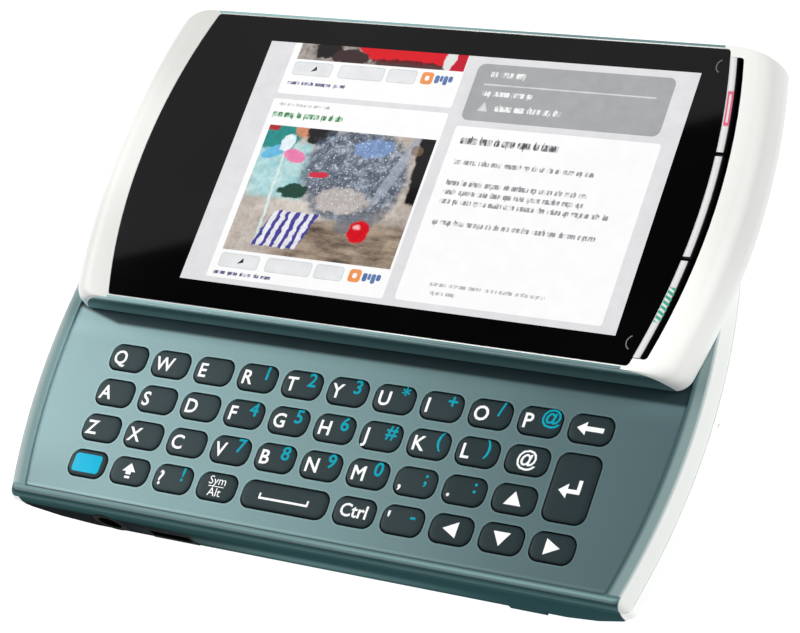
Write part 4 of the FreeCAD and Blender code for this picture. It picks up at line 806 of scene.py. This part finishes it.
PAGE_GREY = screen_finish("page_grey", tint(222, 222, 225), tint(229, 229, 231))
PAGE_WHITE = screen_finish("page_white", tint(250, 250, 251), tint(254, 254, 254))
BOX_GREY = screen_finish("box_grey", tint(164, 165, 167), tint(172, 173, 175))
BAR_GREY = screen_finish("bar_grey", tint(226, 227, 229), tint(236, 237, 238))
BAR_LINE = screen_finish("bar_line", tint(210, 211, 214), tint(222, 223, 225))
ORANGE = screen_finish("mark_orange", tint(238, 146, 78), tint(242, 158, 94))
MARK_BLUE = screen_finish("mark_blue", tint(78, 106, 160), tint(106, 134, 184))
MARK_BLACK = screen_finish("mark_black", tint(24, 24, 26), tint(52, 52, 56))
BOX_LINE = screen_finish("box_line", tint(204, 205, 206), tint(222, 223, 224))
PRINT_DARK = word_finish("print_dark", tint(84, 84, 86), tint(214, 214, 216))
PRINT_GREY = word_finish("print_grey", tint(152, 152, 156), tint(242, 242, 244))
PRINT_PALE = word_finish("print_pale", tint(186, 186, 190), tint(246, 246, 247))
PRINT_GREEN = word_finish("print_green", tint(60, 132, 76), tint(206, 226, 210))
PRINT_BLUE = word_finish("print_blue", tint(92, 92, 128), tint(222, 222, 234))
PRINT_WHITE = word_finish("print_white", tint(246, 246, 246), tint(178, 179, 181))
SHORE, ROCKS = shore_picture(), rock_picture()
chance = random.Random(11)
page = Plate()


def sheet(left, top, wide, deep, layer, finish, radius=ZERO):
    """Rectangle of the page, from its upper left corner."""
    centre = (PAGE_LEFT + left + wide / 2, PAGE_TOP - top - deep / 2)
    low = GLASS_TOP + layer * LAYER
    outline = round_outline(wide / 2, deep / 2, max(radius, 0.001), 4 if radius else 1, centre)
    page.prism(outline, low if layer else low + 0.002, low + LAYER, finish)


def small_print(left, middle, wide, deep, finish):
    """A line of word-long dashes, some with a taller first stroke."""
    at = left
    while at < left + wide - 0.4:
        length = min(chance.choice((0.9, 1.3, 1.7, 2.1, 2.7)), left + wide - at)
        sheet(at, middle - deep / 2, length, deep, 2, finish, deep * 0.25)
        rise = chance.choice((-0.8, 0.42, -0.8))
        sheet(at + chance.uniform(0, length - 0.3), middle + deep * rise, 0.18, deep * 0.4, 2,
              finish)
        at += length + chance.uniform(0.3, 0.42)


def button_bar(top, right):
    """Row of three faint buttons with a dark tick, an orange badge and blue marks behind it."""
    for start, end in ((5.6, 12.4), (13.6, 21.4), (22.0, right)):
        sheet(start, top, end - start, 2.3, 2, BAR_LINE, 0.5)
        sheet(start + 0.15, top + 0.15, end - start - 0.3, 2.0, 3, BAR_GREY, 0.4)
    tick = ((8.8, 1.6), (9.6, 0.6), (9.8, 1.3))
    page.prism([(PAGE_LEFT + u, PAGE_TOP - top - v) for u, v in tick],
               GLASS_TOP + 4 * LAYER, GLASS_TOP + 5 * LAYER, MARK_BLACK)
    sheet(27.7, top + 0.1, 2.0, 2.0, 2, ORANGE, 0.5)
    sheet(28.35, top + 0.7, 0.7, 0.8, 3, PAGE_WHITE, 0.3)
    for start, wide, rise in ((30.0, 0.75, 0.3), (30.85, 0.5, 0.0), (31.45, 0.7, 0.5),
                              (32.25, 0.7, 0.0)):
        sheet(start, top + 0.5, wide, 1.0 + rise, 2, MARK_BLUE, 0.3)


sheet(0, 0, PAGE_WIDE, PAGE_DEEP, 0, PAGE_GREY)
sheet(4.4, 0, 29.9, 8.6, 1, PAGE_WHITE, 0.4)
sheet(5.6, 0, 28.6, 2.7, 2, ROCKS)
button_bar(3.1, 26.9)
small_print(5.5, 6.75, 10.2, 0.5, PRINT_BLUE)
sheet(4.3, 9.5, 30.0, 29.5, 1, PAGE_WHITE, 0.4)
small_print(5.5, 10.4, 9.0, 0.4, PRINT_PALE)
small_print(5.1, 12.1, 12.6, 0.8, PRINT_GREEN)
sheet(5.4, 13.9, 28.5, 20.6, 2, SHORE)
button_bar(35.0, 26.8)
small_print(5.3, 38.2, 9.9, 0.5, PRINT_BLUE)
sheet(36.4, 1.1, 31.2, 9.2, 1, BOX_GREY, 1.1)
small_print(38.8, 2.75, 5.6, 0.85, PRINT_WHITE)
sheet(38.2, 4.3, 27.2, 0.22, 2, BOX_LINE)
small_print(38.5, 5.85, 8.0, 0.75, PRINT_WHITE)
page.prism([(PAGE_LEFT + u, PAGE_TOP - v) for u, v in ((38.6, 8.7), (40.2, 8.7), (39.4, 7.2))],
           GLASS_TOP + 2 * LAYER, GLASS_TOP + 3 * LAYER, BOX_LINE)
small_print(41.3, 8.15, 11.2, 0.85, PRINT_WHITE)
sheet(36.2, 11.3, 32.2, 27.5, 1, PAGE_WHITE, 0.5)
small_print(37.7, 13.6, 16.2, 1.0, PRINT_DARK)
for left, middle, wide in ((37.8, 17.0, 22.2), (37.8, 20.3, 22.2), (37.8, 21.75, 22.8),
                           (37.8, 23.2, 27.0), (37.8, 26.5, 25.6)):
    small_print(left, middle, wide, 0.7, PRINT_GREY)
small_print(40.9, 35.9, 18.0, 0.5, PRINT_PALE)
small_print(41.4, 37.2, 4.2, 0.5, PRINT_PALE)
page.piece("screen_page", "display_half")

ARC_GREY = moulded("arc_grey", tint(96, 97, 99), tint(120, 121, 123), 0.4)
arcs = Plate()
for centre_y, way in ((50.1, 1), (8.3, -1)):
    steps = [math.radians(115 + 13 * i) for i in range(11)]
    outer = [(42.9 + 1.15 * math.cos(t), centre_y + way * 1.15 * math.sin(t)) for t in steps]
    inner = [(42.9 + 0.98 * math.cos(t), centre_y + way * 0.98 * math.sin(t)) for t in steps[::-1]]
    arcs.prism((outer + inner)[::way], GLASS_TOP + 0.001, GLASS_TOP + 0.012, ARC_GREY)
arcs.piece("glass_arcs", "display_half")


# ---------------------------------------------------------------- studio
CARD_CORNERS = [(-2.55, -0.27, 0.89), (1.35, 1.15, 0.89), (1.0, 2.4, 0.89), (-2.9, 1.0, 0.89)]
LIGHTS = (("key_light", (-0.80, 0.10, 0.50), 0.50, 6.8, (1.0, 0.99, 0.98)),
          ("fill_light", (-0.1, -0.7, 0.5), 0.6, 2.8, (0.98, 0.99, 1.0)),
          ("side_light", (0.75, 0.3, 0.55), 0.5, 7.2, (1.0, 1.0, 1.0)))
LIGHT_AIM = Vector((0, 0.01, 0.01))
FLOOR_SIZE, FLOOR_DROP = 6, 0.0002
WORLD_GLOW = 0.035
LENS, SENSOR = 121.4, 36.0
CAMERA_PLACE = Vector((0.19906, -0.11205, 0.30698))
CAMERA_RIGHT = Vector((0.84679, 0.31953, -0.42526))
CAMERA_UP = Vector((-0.11491, 0.89048, 0.44028))


def studio():
    """Bright floor, soft lights, the card that the glass mirrors and the photo's camera."""
    bpy.ops.mesh.primitive_plane_add(size=FLOOR_SIZE, location=(0, 0, CAD_BOX[0].z - FLOOR_DROP))
    floor = bpy.context.object
    floor.name = "studio_floor"
    paper = Shader("studio_paper")
    tone = paper.ramp(paper.noise(0.02, 2), [(0.3, (0.97, 0.97, 0.97)), (0.7, (0.99, 0.99, 0.99))])
    floor.data.materials.append(paper.finish(Base_Color=paper.scaled(tone, 0.2), Roughness=0.9,
                                             Specular_IOR_Level=0.0, Emission_Color=tone,
                                             Emission_Strength=1.0))
    card = bpy.data.meshes.new("studio_card")
    card.from_pydata(CARD_CORNERS, [], [(0, 3, 2, 1)])
    glow = Shader("card_glow")
    tone = glow.ramp(glow.noise(0.005, 2), [(0.3, (0.35, 0.35, 0.36)), (0.7, (0.43, 0.43, 0.44))])
    card.materials.append(glow.finish(Base_Color=tint(10, 10, 10), Roughness=1.0,
                                      Emission_Color=tone, Emission_Strength=1.0))
    board = bpy.data.objects.new("studio_card", card)
    bpy.context.scene.collection.objects.link(board)
    for name, place, size, power, colour in LIGHTS:
        data = bpy.data.lights.new(name, "AREA")
        data.energy, data.size, data.color = power, size, colour
        light = bpy.data.objects.new(name, data)
        light.location = place
        light.rotation_mode = "QUATERNION"
        light.rotation_quaternion = (LIGHT_AIM - Vector(place)).to_track_quat("-Z", "Y")
        bpy.context.scene.collection.objects.link(light)
    world = bpy.data.worlds.new("studio")
    bpy.context.scene.world = world
    world.use_nodes = True
    back = world.node_tree.nodes["Background"]
    back.inputs["Color"].default_value = (1.0, 1.0, 1.0, 1.0)
    back.inputs["Strength"].default_value = WORLD_GLOW
    lens = bpy.data.cameras.new("camera")
    lens.lens, lens.sensor_width = LENS, SENSOR
    lens.clip_start, lens.clip_end = 0.01, 20.0
    camera = bpy.data.objects.new("camera", lens)
    right, up = CAMERA_RIGHT.normalized(), CAMERA_UP.normalized()
    turn = Matrix((right, up, right.cross(up))).transposed().to_4x4()
    camera.matrix_world = Matrix.Translation(CAMERA_PLACE) @ turn
    bpy.context.scene.collection.objects.link(camera)
    bpy.context.scene.camera = camera
    bpy.context.scene.view_settings.view_transform = "Standard"


studio()
